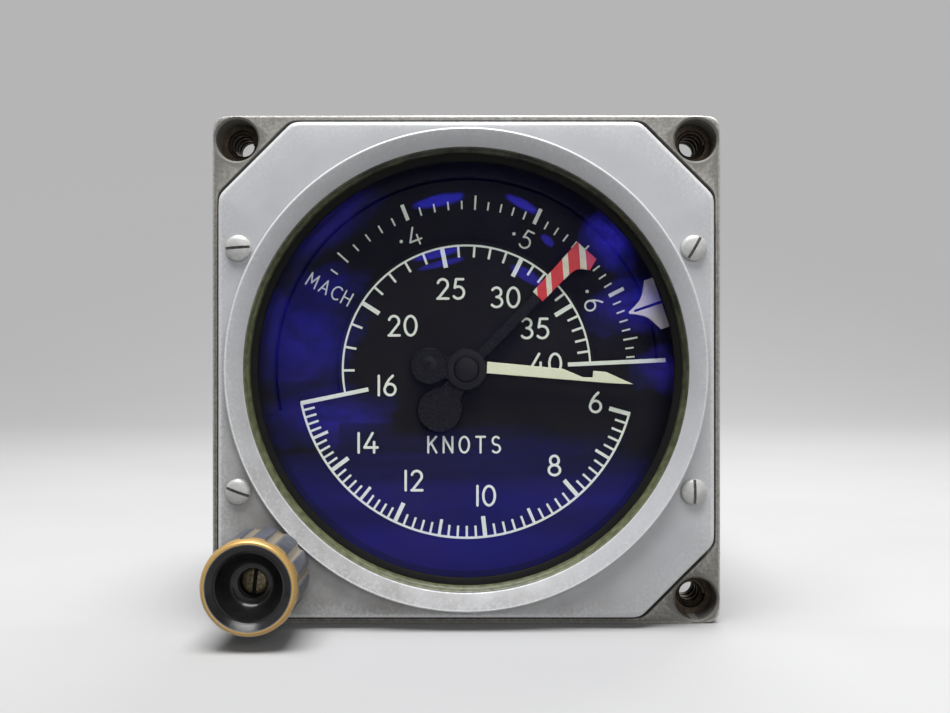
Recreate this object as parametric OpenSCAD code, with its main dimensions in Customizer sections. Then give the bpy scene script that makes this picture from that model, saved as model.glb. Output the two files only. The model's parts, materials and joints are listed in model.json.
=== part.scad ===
// Airspeed indicator with a turning Mach scale, set speed bug and limit pointer.
// Millimetres. X is right, Z is up, Y runs rearwards; the dial axis is the Y axis.
// Y = 0 is the front of the mounting flange, the face that meets the panel.

/* [Case] */
// Side of the square mounting flange
flange_w = 82.6; // [76:0.1:95]
// Thickness of the flange
flange_t = 6; // [5:0.1:8]
// Corner radius of the flange
flange_corner_r = 2.2; // [1:0.1:4]
// Lug hole centre to flange edge
lug_edge = 4; // [3.9:0.05:4.6]
// Lug hole radius at the front
lug_hole_r = 3.45; // [2.8:0.05:3.5]
// Depth of the lugs behind the flange front
lug_depth = 15; // [12.5:0.1:18]
// Length of the threaded insert in each lug
insert_len = 10; // [6:0.1:12]
// Bore radius of the threaded insert
insert_bore_r = 2.1; // [1.5:0.05:2.4]
// Wall of the barrel
barrel_wall = 2.1; // [1.8:0.05:2.6]
// Rear end of the barrel, from the flange front
barrel_end = 92; // [88:0.5:120]

/* [Bezel] */
// Bezel edge set in from the flange edge
bezel_inset = 1.8; // [1.5:0.05:2.2]
// Legs of the corner chamfers
bezel_chamfer = 11.8; // [10.8:0.1:13]
// Height of the bezel plate above the flange front
bezel_rise = 4.4; // [4.2:0.1:7]
// Depth of the bezel seat in the flange
bezel_seat = 0.8; // [0.5:0.05:1.2]
// Gap round the bezel in its seat
bezel_gap = 0.8; // [0.3:0.05:0.8]
// Small bevel on the front edges
edge_bevel = 0.8; // [0.3:0.05:1.2]
// Height of the raised ring above the plate
ring_rise = 2.2; // [1.6:0.05:3]
// Width of the sloping ring face
ring_face = 2.9; // [2.4:0.05:3.2]
// Fall of the sloping face towards the window
ring_fall = 1.4; // [0.6:0.05:1.5]

/* [Glass] */
// Thickness of the glass
glass_t = 2.8; // [2:0.1:3]
// Thickness of the seal in front of the glass
seal_t = 0.8; // [0.5:0.05:1]
// Thickness of the ring that keeps the glass in
keeper_t = 1.4; // [1:0.05:1.6]

/* [Dial] */
// Thickness of the fixed dial
dial_t = 0.8; // [0.6:0.05:1]
// Height of the printed strokes
print_t = 0.1; // [0.06:0.01:0.15]
// Thickness of the Mach disc
disc_t = 0.6; // [0.4:0.05:0.8]
// Thickness of pointers
pointer_t = 0.5; // [0.4:0.05:0.6]

/* [Knob] */
// Knob radius
knob_r = 7.25; // [6.5:0.05:7.6]
// Knob length
knob_len = 13.6; // [12:0.1:18]
// Depth of the dished front of the knob
knob_dish = 4.3; // [3.4:0.1:4.8]
// Flutes round the knob
knob_flutes = 12; // [10:1:18]
// Knob shaft radius
knob_shaft_r = 1.5; // [1.3:0.05:1.7]

/* [Movement] */
// Module of the movement gears
gear_m = 0.5; // [0.46:0.01:0.52]
// Bearing of the arbors above the horizontal
arbor_angle = 47.8; // [46:0.1:52]
// Crank radius
crank_r = 3; // [2.6:0.1:3.2]
// Radius of the spindle
spindle_r = 0.8; // [0.7:0.02:0.9]
// Radius of the arbors
arbor_r = 1.2; // [1:0.05:1.4]
// Capsule radius
capsule_r = 15; // [13:0.1:15.4]
// Running clearance of shafts in holes
run_gap = 0.05; // [0.03:0.01:0.08]
// Tooth thinning for free mesh
tooth_play = 0.12; // [0.1:0.01:0.16]

/* [Hidden] */
$fn = 72;
eps = 0.01;
half = flange_w / 2;
lug_at = half - lug_edge;
bezel_half = half - bezel_inset;
chamfer_at = (2 * bezel_half - bezel_chamfer) / sqrt(2);
ring_r = bezel_half - 1.3;
window_r = ring_r - ring_face;
pocket_r = window_r + 1.8;
cavity_r = window_r + 3.6;
ledge_r = window_r + 0.5;
collar_r = half - 0.4;
barrel_r = half - 1.6;
barrel_in = barrel_r - barrel_wall;
size_k = window_r / 35.3;
y_ring = -bezel_rise - ring_rise;
y_keeper = bezel_seat + 0.8;
y_glass_back = y_keeper - keeper_t;
y_glass = y_glass_back - glass_t;
y_pocket = y_glass - seal_t;
y_pointer = y_keeper - 0.3;
y_limit = y_pointer + 1.2;
y_bug = y_limit - 0.2;
y_ring_gear = y_bug + 0.6;
y_dial = y_pointer + 2.6;
y_dial_back = y_dial + dial_t;
y_disc = y_dial_back + 0.7;
y_plate = y_dial_back + 4.8;
y_ledge = y_plate + 2.5;
y_ledge_back = y_ledge + 3;
y_back_plate = y_plate + 20.5;
y_bracket = y_back_plate + 2.5;
y_crank = y_bracket + 2.5;
y_link = y_crank + 1.7;
y_capsule = y_link + 19.3;
dial_ring_r = window_r + 0.1;
dial_ring_in = window_r - 3.4;
bug_pitch_r = window_r + 2.3;
bug_teeth = 94;
bug_pinion_teeth = 18;
bug_m = 2 * bug_pitch_r / bug_teeth;
knob_at = (bug_teeth + bug_pinion_teeth) * bug_m / 2 / sqrt(2);
bug_pinion_r = bug_pinion_teeth * bug_m / 2;
knob_boss_r = half - knob_at - 0.02;
y_knob_back = y_ring - 0.2;
y_knob = y_knob_back - knob_len;
y_knob_seat = y_knob + knob_dish + 3.1;
screw_at = [36.1 * size_k, 19.3 * size_k];
screw_slots = [[-1, 1, 4], [1, 1, 60], [-1, -1, -20], [1, -1, 90]];
gear_pa = 25;
airspeed_teeth = [12, 110];
mach_teeth = [20, 102];
limit_teeth = [24, 98];
train_m = gear_m * size_k;
arbor_d = train_m * 61;
left_arbor = [-arbor_d * cos(arbor_angle), arbor_d * sin(arbor_angle)];
right_arbor = [arbor_d * cos(arbor_angle), arbor_d * sin(arbor_angle)];
sleeve_in = spindle_r + run_gap;
sleeve_r = sleeve_in + 0.75;
mach_sleeve_in = sleeve_r + run_gap;
mach_sleeve_r = mach_sleeve_in + 0.95;
pointer_travel = 352;
mach_low = -100;
mach_high = 20;
sector_travel = pointer_travel * 12 / 110;
crank_rest = -sector_travel / 2;
mach_mid = (mach_low + mach_high) / 2 * 20 / 102;
crank2_rest = mach_mid;
crank_pin_r = 0.8;
pillars = [[0, 29 * size_k], [-26 * size_k, -14 * size_k], [26 * size_k, -14 * size_k]];
shelf_z = -14;
capsule_x = 16.5 * capsule_r / 15;
capsule_h = 3;
union_at = [capsule_x, -19];
cover_screw_r = barrel_in - 2;
knots = [[60, 105.4], [80, 138.7], [100, 173.6], [120, 205.2], [140, 233.1], [160, 258.4],
    [200, 302.5], [250, 348.5], [300, 386.5], [350, 418.7], [400, 447.4]];
big_arc_r = 28.1 * size_k;
small_arc_r = 20.65 * size_k;
step_r = 21.3 * size_k;

function inv(a) = tan(a) * 180 / PI - a;
function polar(r, a) = [r * cos(a), r * sin(a)];
function base_r(n, m) = n * m / 2 * cos(gear_pa);
function half_tooth(n, m, r) =
    let(a = acos(min(1, base_r(n, m) / max(r, base_r(n, m)))))
    90 / n - tooth_play / (n * m) * 180 / PI + inv(gear_pa) - inv(a);
function flank_r(n, m) = [n * m / 2 - m, max(n * m / 2 - 0.3 * m, base_r(n, m)),
    n * m / 2 + 0.25 * m, n * m / 2 + 0.75 * m];
function tooth(n, m, c) = let(f = flank_r(n, m))
    [for (s = [-1, 1]) for (i = s < 0 ? [0, 1, 2, 3] : [3, 2, 1, 0])
        polar(f[i], c + s * half_tooth(n, m, f[i]))];
function clock(a) = 90 - a;
function mach_turn(m) = m < 40 ? -21.5 + 198 * ln(m / 40) : 24.9 + 208 * ln(m / 50);
function capsule_half(r, h, t) = [[0, h - t], [0.2 * r, h - t], [0.3 * r, h - 0.6 - t],
    [0.4 * r, h - t], [0.5 * r, h - 0.6 - t], [0.6 * r, h - t], [0.7 * r, h - 0.6 - t],
    [0.8 * r, h - t], [0.9 * r, h - 0.8 - t], [r - t, 0.5]];
function flip(p) = [for (i = [len(p) - 1:-1:0]) [p[i][0], -p[i][1]]];

module slab(y0, y1) translate([0, y1, 0]) rotate([90, 0, 0]) linear_extrude(y1 - y0) children();
module disc(r, y0, y1) slab(y0, y1) circle(r);
module tube(r, hole, y0, y1) slab(y0, y1) difference() {
    circle(r);
    circle(hole);
}
module turned() rotate([-90, 0, 0]) rotate_extrude() children();
module at(p) translate([p[0], 0, p[1]]) children();
module gear2d(n, m, c) polygon([for (k = [0:n - 1]) each tooth(n, m, c + k * 360 / n)]);
module sector2d(n, m, gap, from, to) polygon(concat([[0, 0]],
    [for (k = [floor(from * n / 360):ceil(to * n / 360)]) each tooth(n, m, gap + (k + 0.5) * 360 / n)]));
module pie2d(r, from, to) polygon(concat([[0, 0]], [for (i = [0:12]) polar(r, from + (to - from) * i / 12)]));
module arc2d(r, w, from, to) intersection() {
    difference() {
        circle(r);
        circle(r - w);
    }
    pie2d(r * 1.3, clock(to), clock(from));
}
module stroke2d(a, r_in, r_out, w) rotate(clock(a)) translate([r_in, -w / 2]) square([r_out - r_in, w]);
module at_lugs() for (s = [[-1, 1], [1, 1], [1, -1]]) at([s[0] * lug_at, s[1] * lug_at]) children();
module at_knob() at([-knob_at, -knob_at]) children();
module at_bezel_screws() for (s = screw_slots) at([s[0] * screw_at[0], s[1] * screw_at[1]]) children();
module at_cover_screws() for (a = [0:60:300]) at(polar(cover_screw_r, a)) children();
module at_ledge_screws() for (a = [0:90:270]) at(polar((ledge_r + cavity_r) / 2, a)) children();
module at_dial_screws() for (a = [45:90:315]) at(polar((dial_ring_r + dial_ring_in) / 2, a)) children();

module flange2d(w) {
    square([w, w - 2 * flange_corner_r], center = true);
    square([w - 2 * flange_corner_r, w], center = true);
    for (x = [-1, 1], y = [-1, 1])
        translate([x, y] * (w / 2 - flange_corner_r)) circle(flange_corner_r);
}
module bezel2d(grow) intersection() {
    square(2 * (bezel_half + grow), center = true);
    rotate(45) square([200, 2 * (chamfer_at + grow)], center = true);
    rotate(45) translate([-200, -100]) square([200 + chamfer_at + grow, 200]);
}
module bezel_bar(turn, low, high) rotate([0, turn, 0]) translate([-80, 0, 0]) rotate([90, 0, 90])
    linear_extrude(160) polygon([[bezel_seat, -low], [edge_bevel - bezel_rise, -low],
        [-bezel_rise, edge_bevel - low], [-bezel_rise, high - edge_bevel],
        [edge_bevel - bezel_rise, high], [bezel_seat, high]]);

module case_body() color([0.44, 0.43, 0.41]) difference() {
    union() {
        slab(0, flange_t) flange2d(flange_w);
        disc(collar_r, flange_t, y_ledge_back);
        disc(barrel_r, y_ledge_back, barrel_end);
        at_lugs() disc(lug_edge, flange_t, lug_depth);
        at_knob() disc(knob_boss_r, flange_t, y_ring_gear + 8.6);
    }
    slab(-1, bezel_seat) bezel2d(bezel_gap);
    disc(cavity_r, bezel_seat - 0.1, y_ledge);
    disc(ledge_r, y_ledge - 1, y_ledge_back + 1);
    disc(barrel_in, y_ledge_back, barrel_end - 8);
    slab(barrel_end - 8.1, barrel_end + 1) difference() {
        circle(barrel_in);
        for (a = [0:60:300]) translate(polar(cover_screw_r, a)) circle(2.6);
    }
    at_cover_screws() disc(1, barrel_end - 6, barrel_end + 1);
    at_lugs() disc(lug_hole_r, -1, lug_depth + 1);
    at_knob() disc(bug_pinion_r + 1.1, bezel_seat - 0.1, y_ring_gear + 6.6);
    at_knob() disc(knob_shaft_r + run_gap, y_ring_gear + 6, y_ring_gear + 8);
    at_bezel_screws() disc(1, bezel_seat - 0.1, flange_t - 0.5);
    at_ledge_screws() disc(0.8, y_ledge - 0.1, y_ledge + 2.6);
}

module thread_inserts() color([0.72, 0.6, 0.32])
    at_lugs() tube(lug_hole_r, insert_bore_r, lug_depth - insert_len, lug_depth);

module rear_cover() color([0.42, 0.41, 0.4]) difference() {
    disc(barrel_r, barrel_end + 0.8, barrel_end + 4);
    at_cover_screws() disc(1.1, barrel_end, barrel_end + 5);
    for (s = [-1, 1]) at([s * union_at[0], union_at[1]]) disc(4, barrel_end, barrel_end + 5);
}

module rear_cover_seal() color([0.12, 0.12, 0.12]) tube(barrel_r, barrel_in, barrel_end, barrel_end + 0.8);

module rear_cover_screws() color([0.62, 0.62, 0.6]) at_cover_screws() difference() {
    union() {
        disc(1, barrel_end - 5.5, barrel_end + 4.1);
        disc(2, barrel_end + 4, barrel_end + 5.4);
    }
    translate([-3, barrel_end + 4.8, -0.3]) cube([6, 2, 0.6]);
}

module pressure_union(bore) difference() {
    union() {
        disc(4, barrel_end - 3.5, barrel_end + 4);
        slab(barrel_end + 4, barrel_end + 9) circle(8.25, $fn = 6);
        disc(5.55, barrel_end + 9, barrel_end + 20);
    }
    disc(2.2, barrel_end, barrel_end + 21);
    disc(bore, barrel_end - 4, barrel_end + 0.1);
}

module pitot_union() color([0.62, 0.5, 0.28]) at([-union_at[0], union_at[1]]) pressure_union(1.2);

module static_union() color([0.62, 0.5, 0.28]) at(union_at) pressure_union(2.2);

module bezel() color([0.7, 0.72, 0.73]) difference() {
    union() {
        intersection() {
            bezel_bar(0, bezel_half, bezel_half);
            bezel_bar(90, bezel_half, bezel_half);
            bezel_bar(45, 80, chamfer_at);
            bezel_bar(-45, chamfer_at, chamfer_at);
        }
        turned() polygon([[window_r - 1, y_ring + ring_fall], [window_r, y_ring + ring_fall],
            [ring_r - 0.35, y_ring], [ring_r, y_ring + 0.35], [ring_r, 0.5 - bezel_rise],
            [window_r - 1, 0.5 - bezel_rise]]);
    }
    disc(window_r, y_ring - 1, bezel_seat + 1);
    disc(pocket_r, y_pocket, bezel_seat + 1);
    at_bezel_screws() disc(1.15, y_ring, bezel_seat + 1);
    at_knob() disc(3, y_ring, bezel_seat + 1);
}

module bezel_screws() color([0.66, 0.67, 0.67]) for (s = screw_slots)
    at([s[0] * screw_at[0], s[1] * screw_at[1]]) difference() {
        turned() polygon([[0, -bezel_rise - 1.35], [0.9, -bezel_rise - 1.25], [1.6, -bezel_rise - 0.9],
            [2.05, -bezel_rise - 0.3], [2.05, -bezel_rise], [1, -bezel_rise], [1, flange_t - 1],
            [0, flange_t - 1]]);
        rotate([0, -s[2], 0]) translate([-3, -bezel_rise - 2, -0.3]) cube([6, 1.3, 0.6]);
    }

module glass() color([0.55, 0.62, 0.85, 0.3]) disc(pocket_r - 0.2, y_glass, y_glass_back);

module glass_seal() color([0.45, 0.47, 0.32]) turned() polygon([
    [pocket_r - 0.1, y_glass], [pocket_r - 0.1, y_pocket],
    [window_r - 0.04, y_pocket], [window_r - 0.04, y_ring + ring_fall + 0.25],
    [window_r - 0.25, y_ring + ring_fall + 0.45], [window_r - 0.8, y_pocket - 0.2],
    [window_r - 0.8, y_glass - 0.35], [window_r - 2, y_glass - 0.3], [window_r - 2, y_glass]]);

module glass_keeper() color([0.1, 0.1, 0.11]) tube(pocket_r, window_r - 0.9, y_glass_back, y_keeper);

module bug_ring() color([0.3, 0.3, 0.3]) slab(y_ring_gear, y_ring_gear + 4.5) difference() {
    gear2d(bug_teeth, bug_m, 225);
    circle(dial_ring_r + run_gap);
}

module speed_bug() color([0.86, 0.84, 0.82]) slab(y_bug, y_ring_gear) rotate(clock(70.9)) scale(size_k)
    difference() {
        polygon([[28.3, 0.2], [29.4, 0.65], [30.5, 1.32], [31.4, 2.35], [32.1, 3.6], [32.45, 4.25], [33.9, 4.25],
            [36.6, 3.6], [36.6, -3.6], [33.9, -4.25], [32.45, -4.25], [32.1, -3.6], [31.4, -2.35],
            [30.5, -1.32], [29.4, -0.65], [28.3, -0.2]]);
        translate([29.1, -0.25]) square([4.8, 0.5]);
    }

module bug_pinion() color([0.72, 0.6, 0.32]) at_knob() slab(y_ring_gear + 0.3, y_ring_gear + 4.2) difference() {
    gear2d(bug_pinion_teeth, bug_m, 45 + 180 / bug_pinion_teeth);
    circle(knob_shaft_r);
}

module knob_shaft() color([0.62, 0.62, 0.6]) at_knob() difference() {
    disc(knob_shaft_r, y_knob_seat + 1, y_ring_gear + 7.9);
    disc(0.9, y_knob_seat + 0.5, y_knob_seat + 4.6);
}

module knob_bush() color([0.72, 0.6, 0.32]) at_knob() difference() {
    union() {
        disc(3, -bezel_rise, bezel_seat);
        disc(4.2, y_knob_back + 0.6, -bezel_rise);
    }
    disc(knob_shaft_r + run_gap, y_knob_back - 1, bezel_seat + 1);
}

module knob() color([0.2, 0.2, 0.22]) at_knob() difference() {
    turned() polygon([[knob_shaft_r, y_knob_back], [knob_r - 0.6, y_knob_back], [knob_r, y_knob_back - 0.6],
        [knob_r, y_knob + 1.7], [knob_r - 0.3, y_knob + 0.3], [knob_r - 0.6, y_knob], [knob_r - 1.1, y_knob],
        [knob_r - 1.65, y_knob + 0.35], [knob_r - 1.9, y_knob + 0.35], [knob_r - 1.9, y_knob + 0.75],
        [knob_r - 2.25, y_knob + 0.9], [knob_r - 2.85, y_knob + 0.5 * knob_dish],
        [knob_r - 4.05, y_knob + 0.84 * knob_dish], [2.2, y_knob + knob_dish], [2.2, y_knob_seat],
        [0.9, y_knob_seat], [0.9, y_knob_seat + 1], [knob_shaft_r, y_knob_seat + 1]]);
    for (i = [0:knob_flutes - 1]) at(polar(knob_r + 0.55, 5 + i * 360 / knob_flutes))
        disc(1.05, y_knob + 1.7, y_knob_back + 1);
}

module knob_screw() color([0.5, 0.5, 0.48]) at_knob() difference() {
    union() {
        disc(2.05, y_knob_seat - 1.4, y_knob_seat);
        disc(0.9, y_knob_seat - 0.1, y_knob_seat + 4.1);
    }
    rotate([0, -83.5, 0]) translate([-3, y_knob_seat - 2.6, -0.3]) cube([6, 1.9, 0.6]);
}

module main_dial() color([0.07, 0.075, 0.07]) slab(y_dial, y_dial_back) difference() {
    union() {
        circle(step_r);
        intersection() {
            circle(dial_ring_r - 0.2);
            polygon([[0, 0], polar(80, clock(88.4)), [80, -80], [-80, -80], polar(80, clock(257.4))]);
        }
    }
    circle(2.2 + mach_sleeve_in - 1.6);
}

module dial_scale() color([0.82, 0.85, 0.78]) slab(y_dial - print_t, y_dial) {
    arc2d(big_arc_r, 0.42, 105, 258.4);
    arc2d(small_arc_r, 0.36, 258.4, 447.4);
    for (v = [60:10:150]) stroke2d(lookup(v, knots), big_arc_r - (v % 20 == 0 ? 3.7 : 2.8),
        big_arc_r - 0.1, v % 20 == 0 ? 0.75 : 0.6);
    for (v = [170:10:390]) stroke2d(lookup(v, knots), small_arc_r - (v % 50 == 0 ? 3.5 : 2.1),
        small_arc_r - 0.1, v % 50 == 0 ? 0.72 : 0.42);
    stroke2d(258.4, 16.6 * size_k, big_arc_r - 0.1, 0.75);
    stroke2d(447.4, 16.8 * size_k, 33 * size_k, 0.75);
}

module dial_ring() color([0.08, 0.08, 0.08]) difference() {
    union() {
        disc(dial_ring_r, y_dial_back, y_plate);
        disc(dial_ring_r + 0.5, y_ring_gear + 4.7, y_plate);
    }
    disc(dial_ring_in, y_dial_back - 1, y_plate + 1);
    at_dial_screws() disc(0.9, y_plate - 3.2, y_plate + 1);
}

module dial_ring_screws() color([0.6, 0.6, 0.58]) at_dial_screws() {
    disc(0.9, y_plate - 3, y_ledge);
    disc(1.6, y_ledge, y_ledge + 1.1);
}

module mach_disc() color([0.06, 0.065, 0.07]) difference() {
    union() {
        disc(dial_ring_in - 0.3, y_disc, y_disc + disc_t);
        disc(mach_sleeve_r + 2, y_disc + disc_t, y_disc + disc_t + 1.2);
    }
    disc(mach_sleeve_r, y_disc - 1, y_disc + 4);
}

module mach_scale() color([0.82, 0.85, 0.78]) slab(y_disc - print_t, y_disc)
    for (m = [35:5:90]) stroke2d(mach_turn(m), 26.6 * size_k, 29.4 * size_k, m % 10 == 0 ? 0.68 : 0.36);

module mach_sleeve() color([0.72, 0.6, 0.32]) difference() {
    union() {
        disc(mach_sleeve_r, y_dial_back + 0.3, y_ledge + 5);
        slab(y_ledge + 2, y_ledge + 4) gear2d(mach_teeth[0], train_m, arbor_angle);
    }
    disc(mach_sleeve_in, y_dial_back - 1, y_ledge + 6);
}

module pointer_hub() color([0.07, 0.07, 0.07]) difference() {
    union() {
        disc(2, y_pointer - 0.6, y_pointer + 0.5);
        disc(3.4, y_pointer - 0.1, y_pointer + 0.7);
        slab(y_pointer, y_pointer + pointer_t) rotate(clock(95.1)) {
            translate([-6.2, 0]) circle(3);
            translate([-6.2, -1.7]) square([6.2, 3.4]);
        }
    }
    disc(spindle_r, y_pointer - 0.35, y_pointer + 2);
}

module airspeed_pointer() color([0.88, 0.87, 0.76]) slab(y_pointer, y_pointer + pointer_t)
    difference() {
        rotate(clock(95.1)) scale(size_k) polygon([[2.9, -0.35], [23, -0.2], [27.4, 0], [22.8, 1.6], [20.7, 1.6],
            [20.7, 0.5], [19.1, 0.4], [15.7, 1.5], [2.9, 1.55]]);
        circle(3.4);
    }

module pointer_spindle() color([0.62, 0.62, 0.6]) {
    disc(spindle_r, y_pointer - 0.35, y_bracket + 1.5);
    slab(y_ledge + 10, y_ledge + 12) gear2d(airspeed_teeth[0], train_m, 180 - arbor_angle);
    disc(1.8, y_ledge + 12, y_ledge + 15.5);
}

module limit_arm() color([0.07, 0.07, 0.07]) difference() {
    union() {
        disc(3.2, y_limit - 0.2, y_limit + pointer_t + 0.2);
        slab(y_limit, y_limit + pointer_t) {
            rotate(clock(44.6)) translate([0, -0.9]) square([16.75 * size_k, 1.8]);
            rotate(236.8) {
                translate([8, 0]) circle(3.7);
                translate([0, -1.9]) square([8, 3.8]);
            }
        }
    }
    disc(sleeve_r, y_limit - 1, y_limit + 2);
}

module limit_head() color([0.75, 0.16, 0.2]) slab(y_limit, y_limit + pointer_t) rotate(clock(44.6)) scale(size_k)
    polygon([[16.75, 1.2], [16.75, -1.1], [20.6, -1.08], [24.45, -1.32], [25.9, -3.05], [27.95, -2.5], [27.75, 1.73]]);

module limit_sleeve() color([0.72, 0.6, 0.32]) difference() {
    union() {
        disc(sleeve_r, y_limit - 0.3, y_ledge + 9);
        slab(y_ledge + 6, y_ledge + 8) gear2d(limit_teeth[0], train_m, arbor_angle);
    }
    disc(sleeve_in, y_limit - 2, y_ledge + 10);
}

module front_plate() color([0.7, 0.6, 0.36]) difference() {
    disc(cavity_r - 0.3, y_plate, y_ledge);
    disc(4.5, y_plate - 1, y_ledge + 1);
    for (p = [left_arbor, right_arbor]) at(p) disc(arbor_r + run_gap, y_plate - 1, y_ledge + 1);
    for (p = pillars) at(p) disc(1, y_plate - 1, y_ledge + 1);
    at_ledge_screws() disc(0.9, y_plate - 1, y_ledge + 1);
    at_dial_screws() disc(1, y_plate - 1, y_ledge + 1);
}

module front_bush() color([0.74, 0.62, 0.34]) tube(4.5, mach_sleeve_r + run_gap, y_plate - 1, y_ledge + 1);

module rear_plate() color([0.7, 0.6, 0.36]) difference() {
    disc(ledge_r - 1.8, y_back_plate, y_bracket);
    disc(2.5, y_back_plate - 1, y_bracket + 1);
    for (p = [left_arbor, right_arbor]) at(p) disc(arbor_r + run_gap, y_back_plate - 1, y_bracket + 1);
    for (p = pillars) at(p) disc(1, y_back_plate - 1, y_bracket + 1);
    for (s = [-1, 1]) at([s * 12, shelf_z + 2.5]) disc(1, y_back_plate - 1, y_bracket + 1);
}

module spindle_bush() color([0.74, 0.62, 0.34]) tube(2.5, spindle_r + run_gap, y_back_plate - 0.5, y_bracket + 0.5);

module frame_pillars() color([0.62, 0.62, 0.6]) for (p = pillars) at(p) difference() {
    disc(2.5, y_ledge, y_back_plate);
    disc(1, y_ledge - 1, y_ledge + 6);
    disc(1, y_back_plate - 6, y_back_plate + 1);
}

module plate_screws() color([0.6, 0.6, 0.58]) {
    for (p = pillars) at(p) {
        disc(1, y_plate, y_ledge + 5);
        disc(1.8, y_plate - 1.1, y_plate);
        disc(1, y_back_plate - 5, y_bracket);
        disc(1.8, y_bracket, y_bracket + 1.1);
    }
    at_ledge_screws() {
        disc(0.8, y_plate, y_ledge + 2.4);
        disc(1.35, y_plate - 1, y_plate);
    }
}

module toothed_sector(teeth, gap, from, to, y0) difference() {
    slab(y0, y0 + 2) difference() {
        union() {
            sector2d(teeth, train_m, gap, from, to);
            circle(3.6);
        }
        difference() {
            pie2d(teeth * train_m / 2 - 3.2, gap + from + 6, gap + to - 6);
            circle(7);
        }
    }
    disc(arbor_r, y0 - 1, y0 + 3);
}

module airspeed_sector() color([0.76, 0.64, 0.36]) at(left_arbor)
    toothed_sector(airspeed_teeth[1], -arbor_angle, -sector_travel - 4.5, 4.5, y_ledge + 10);

module mach_sector() color([0.76, 0.64, 0.36]) at(right_arbor)
    toothed_sector(mach_teeth[1], 180 + arbor_angle, -mach_high * 20 / 102 - 5, 5 - mach_low * 20 / 102, y_ledge + 2);

module limit_sector() color([0.76, 0.64, 0.36]) at(right_arbor)
    toothed_sector(limit_teeth[1], 180 + arbor_angle, -mach_high * 20 / 102 - 5, 5 - mach_low * 20 / 102, y_ledge + 6);

module airspeed_arbor() color([0.62, 0.62, 0.6]) at(left_arbor) disc(arbor_r, y_plate + 0.5, y_crank + 1.2);

module altitude_arbor() color([0.62, 0.62, 0.6]) at(right_arbor) disc(arbor_r, y_plate + 0.5, y_crank + 1.2);

module crank(turn) {
    difference() {
        union() {
            disc(2.6, y_bracket + 0.7, y_crank + 1.2);
            slab(y_crank, y_crank + 1.2) rotate(turn) {
                translate([0, -1.3]) square([crank_r, 2.6]);
                translate([crank_r, 0]) circle(1.5);
            }
        }
        disc(arbor_r, y_bracket, y_crank + 2);
    }
    at(polar(crank_r, turn)) disc(crank_pin_r, y_crank + 1.2, y_crank + 3.4);
}

module airspeed_crank() color([0.5, 0.5, 0.48]) at(left_arbor) crank(crank_rest);

module altitude_crank() color([0.5, 0.5, 0.48]) at(right_arbor) crank(180 - crank2_rest);

module rise_link(arbor, turn, side, z0) {
    pin = arbor + polar(crank_r, turn);
    difference() {
        translate([pin[0] - 3.5, y_link, z0]) cube([7, 1, pin[1] + 3.5 - z0]);
        translate([pin[0] - 1.1, y_link - 1, pin[1] - crank_pin_r - run_gap])
            cube([2.2, 3, 2 * (crank_pin_r + run_gap)]);
    }
    translate([min(pin[0], side * capsule_x) - 3.5, y_link, z0])
        cube([7 + abs(pin[0] - side * capsule_x), y_capsule + 3 - y_link, 1]);
}

module airspeed_link() color([0.66, 0.66, 0.63]) rise_link(left_arbor, crank_rest, -1, shelf_z + 9.5);

module altitude_link() color([0.66, 0.66, 0.63]) rise_link(right_arbor, 180 - crank2_rest, 1, shelf_z + 16.5);

module capsule_shell(z) translate([0, 0, z]) rotate_extrude() difference() {
    polygon(concat(capsule_half(capsule_r, capsule_h, 0), flip(capsule_half(capsule_r, capsule_h, 0))));
    polygon(concat(capsule_half(capsule_r, capsule_h, 0.4), flip(capsule_half(capsule_r, capsule_h, 0.4))));
}

module airspeed_capsule() color([0.75, 0.66, 0.42]) translate([-capsule_x, y_capsule, 0]) {
    translate([0, 0, shelf_z]) cylinder(r = 3, h = 2.1);
    capsule_shell(shelf_z + 2 + capsule_h);
    translate([0, 0, shelf_z + 7.9]) cylinder(r = 1.5, h = 1.6);
}

module aneroid_stack() color([0.75, 0.66, 0.42]) translate([capsule_x, y_capsule, 0]) {
    translate([0, 0, shelf_z]) cylinder(r = 3, h = 2.1);
    capsule_shell(shelf_z + 2 + capsule_h);
    translate([0, 0, shelf_z + 7.9]) cylinder(r = 2.5, h = 1.2);
    capsule_shell(shelf_z + 9 + capsule_h);
    translate([0, 0, shelf_z + 14.9]) cylinder(r = 1.5, h = 1.6);
}

module capsule_bracket() color([0.6, 0.61, 0.62]) difference() {
    union() {
        translate([-20, y_bracket, shelf_z - 2]) cube([40, 1.5, 7]);
        translate([-20, y_bracket, shelf_z - 2]) cube([40, 10, 2]);
        translate([-capsule_x - 12, y_bracket + 8, shelf_z - 2])
            cube([2 * capsule_x + 24, y_capsule + 15 - y_bracket - 8, 2]);
    }
    for (s = [-1, 1]) at([s * 12, shelf_z + 2.5]) disc(1.1, y_bracket - 1, y_bracket + 3);
    translate([-capsule_x, y_capsule, shelf_z - 3]) cylinder(r = 1.2, h = 4);
}

module bracket_screws() color([0.6, 0.6, 0.58]) for (s = [-1, 1]) at([s * 12, shelf_z + 2.5]) {
    disc(1, y_bracket - 2, y_bracket + 1.5);
    disc(1.8, y_bracket + 1.5, y_bracket + 2.6);
}

module pitot_pipe() color([0.72, 0.5, 0.34]) translate([-union_at[0], 0, 0]) {
    translate([0, y_capsule, union_at[1]]) cylinder(r = 1.2, h = shelf_z - union_at[1]);
    translate([0, y_capsule, union_at[1]]) sphere(r = 1.2);
    translate([0, 0, union_at[1]]) disc(1.2, y_capsule, barrel_end - 0.5);
}

module hairspring() color([0.8, 0.68, 0.4]) {
    slab(y_ledge + 13.4, y_ledge + 14.3) polygon(concat(
        [for (i = [0:96]) polar(2.3 + i * 0.05, i * 15)],
        [for (i = [96:-1:0]) polar(2.53 + i * 0.05, i * 15)]));
    at([7.2, 0]) disc(0.6, y_ledge + 13.4, y_back_plate);
}

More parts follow.
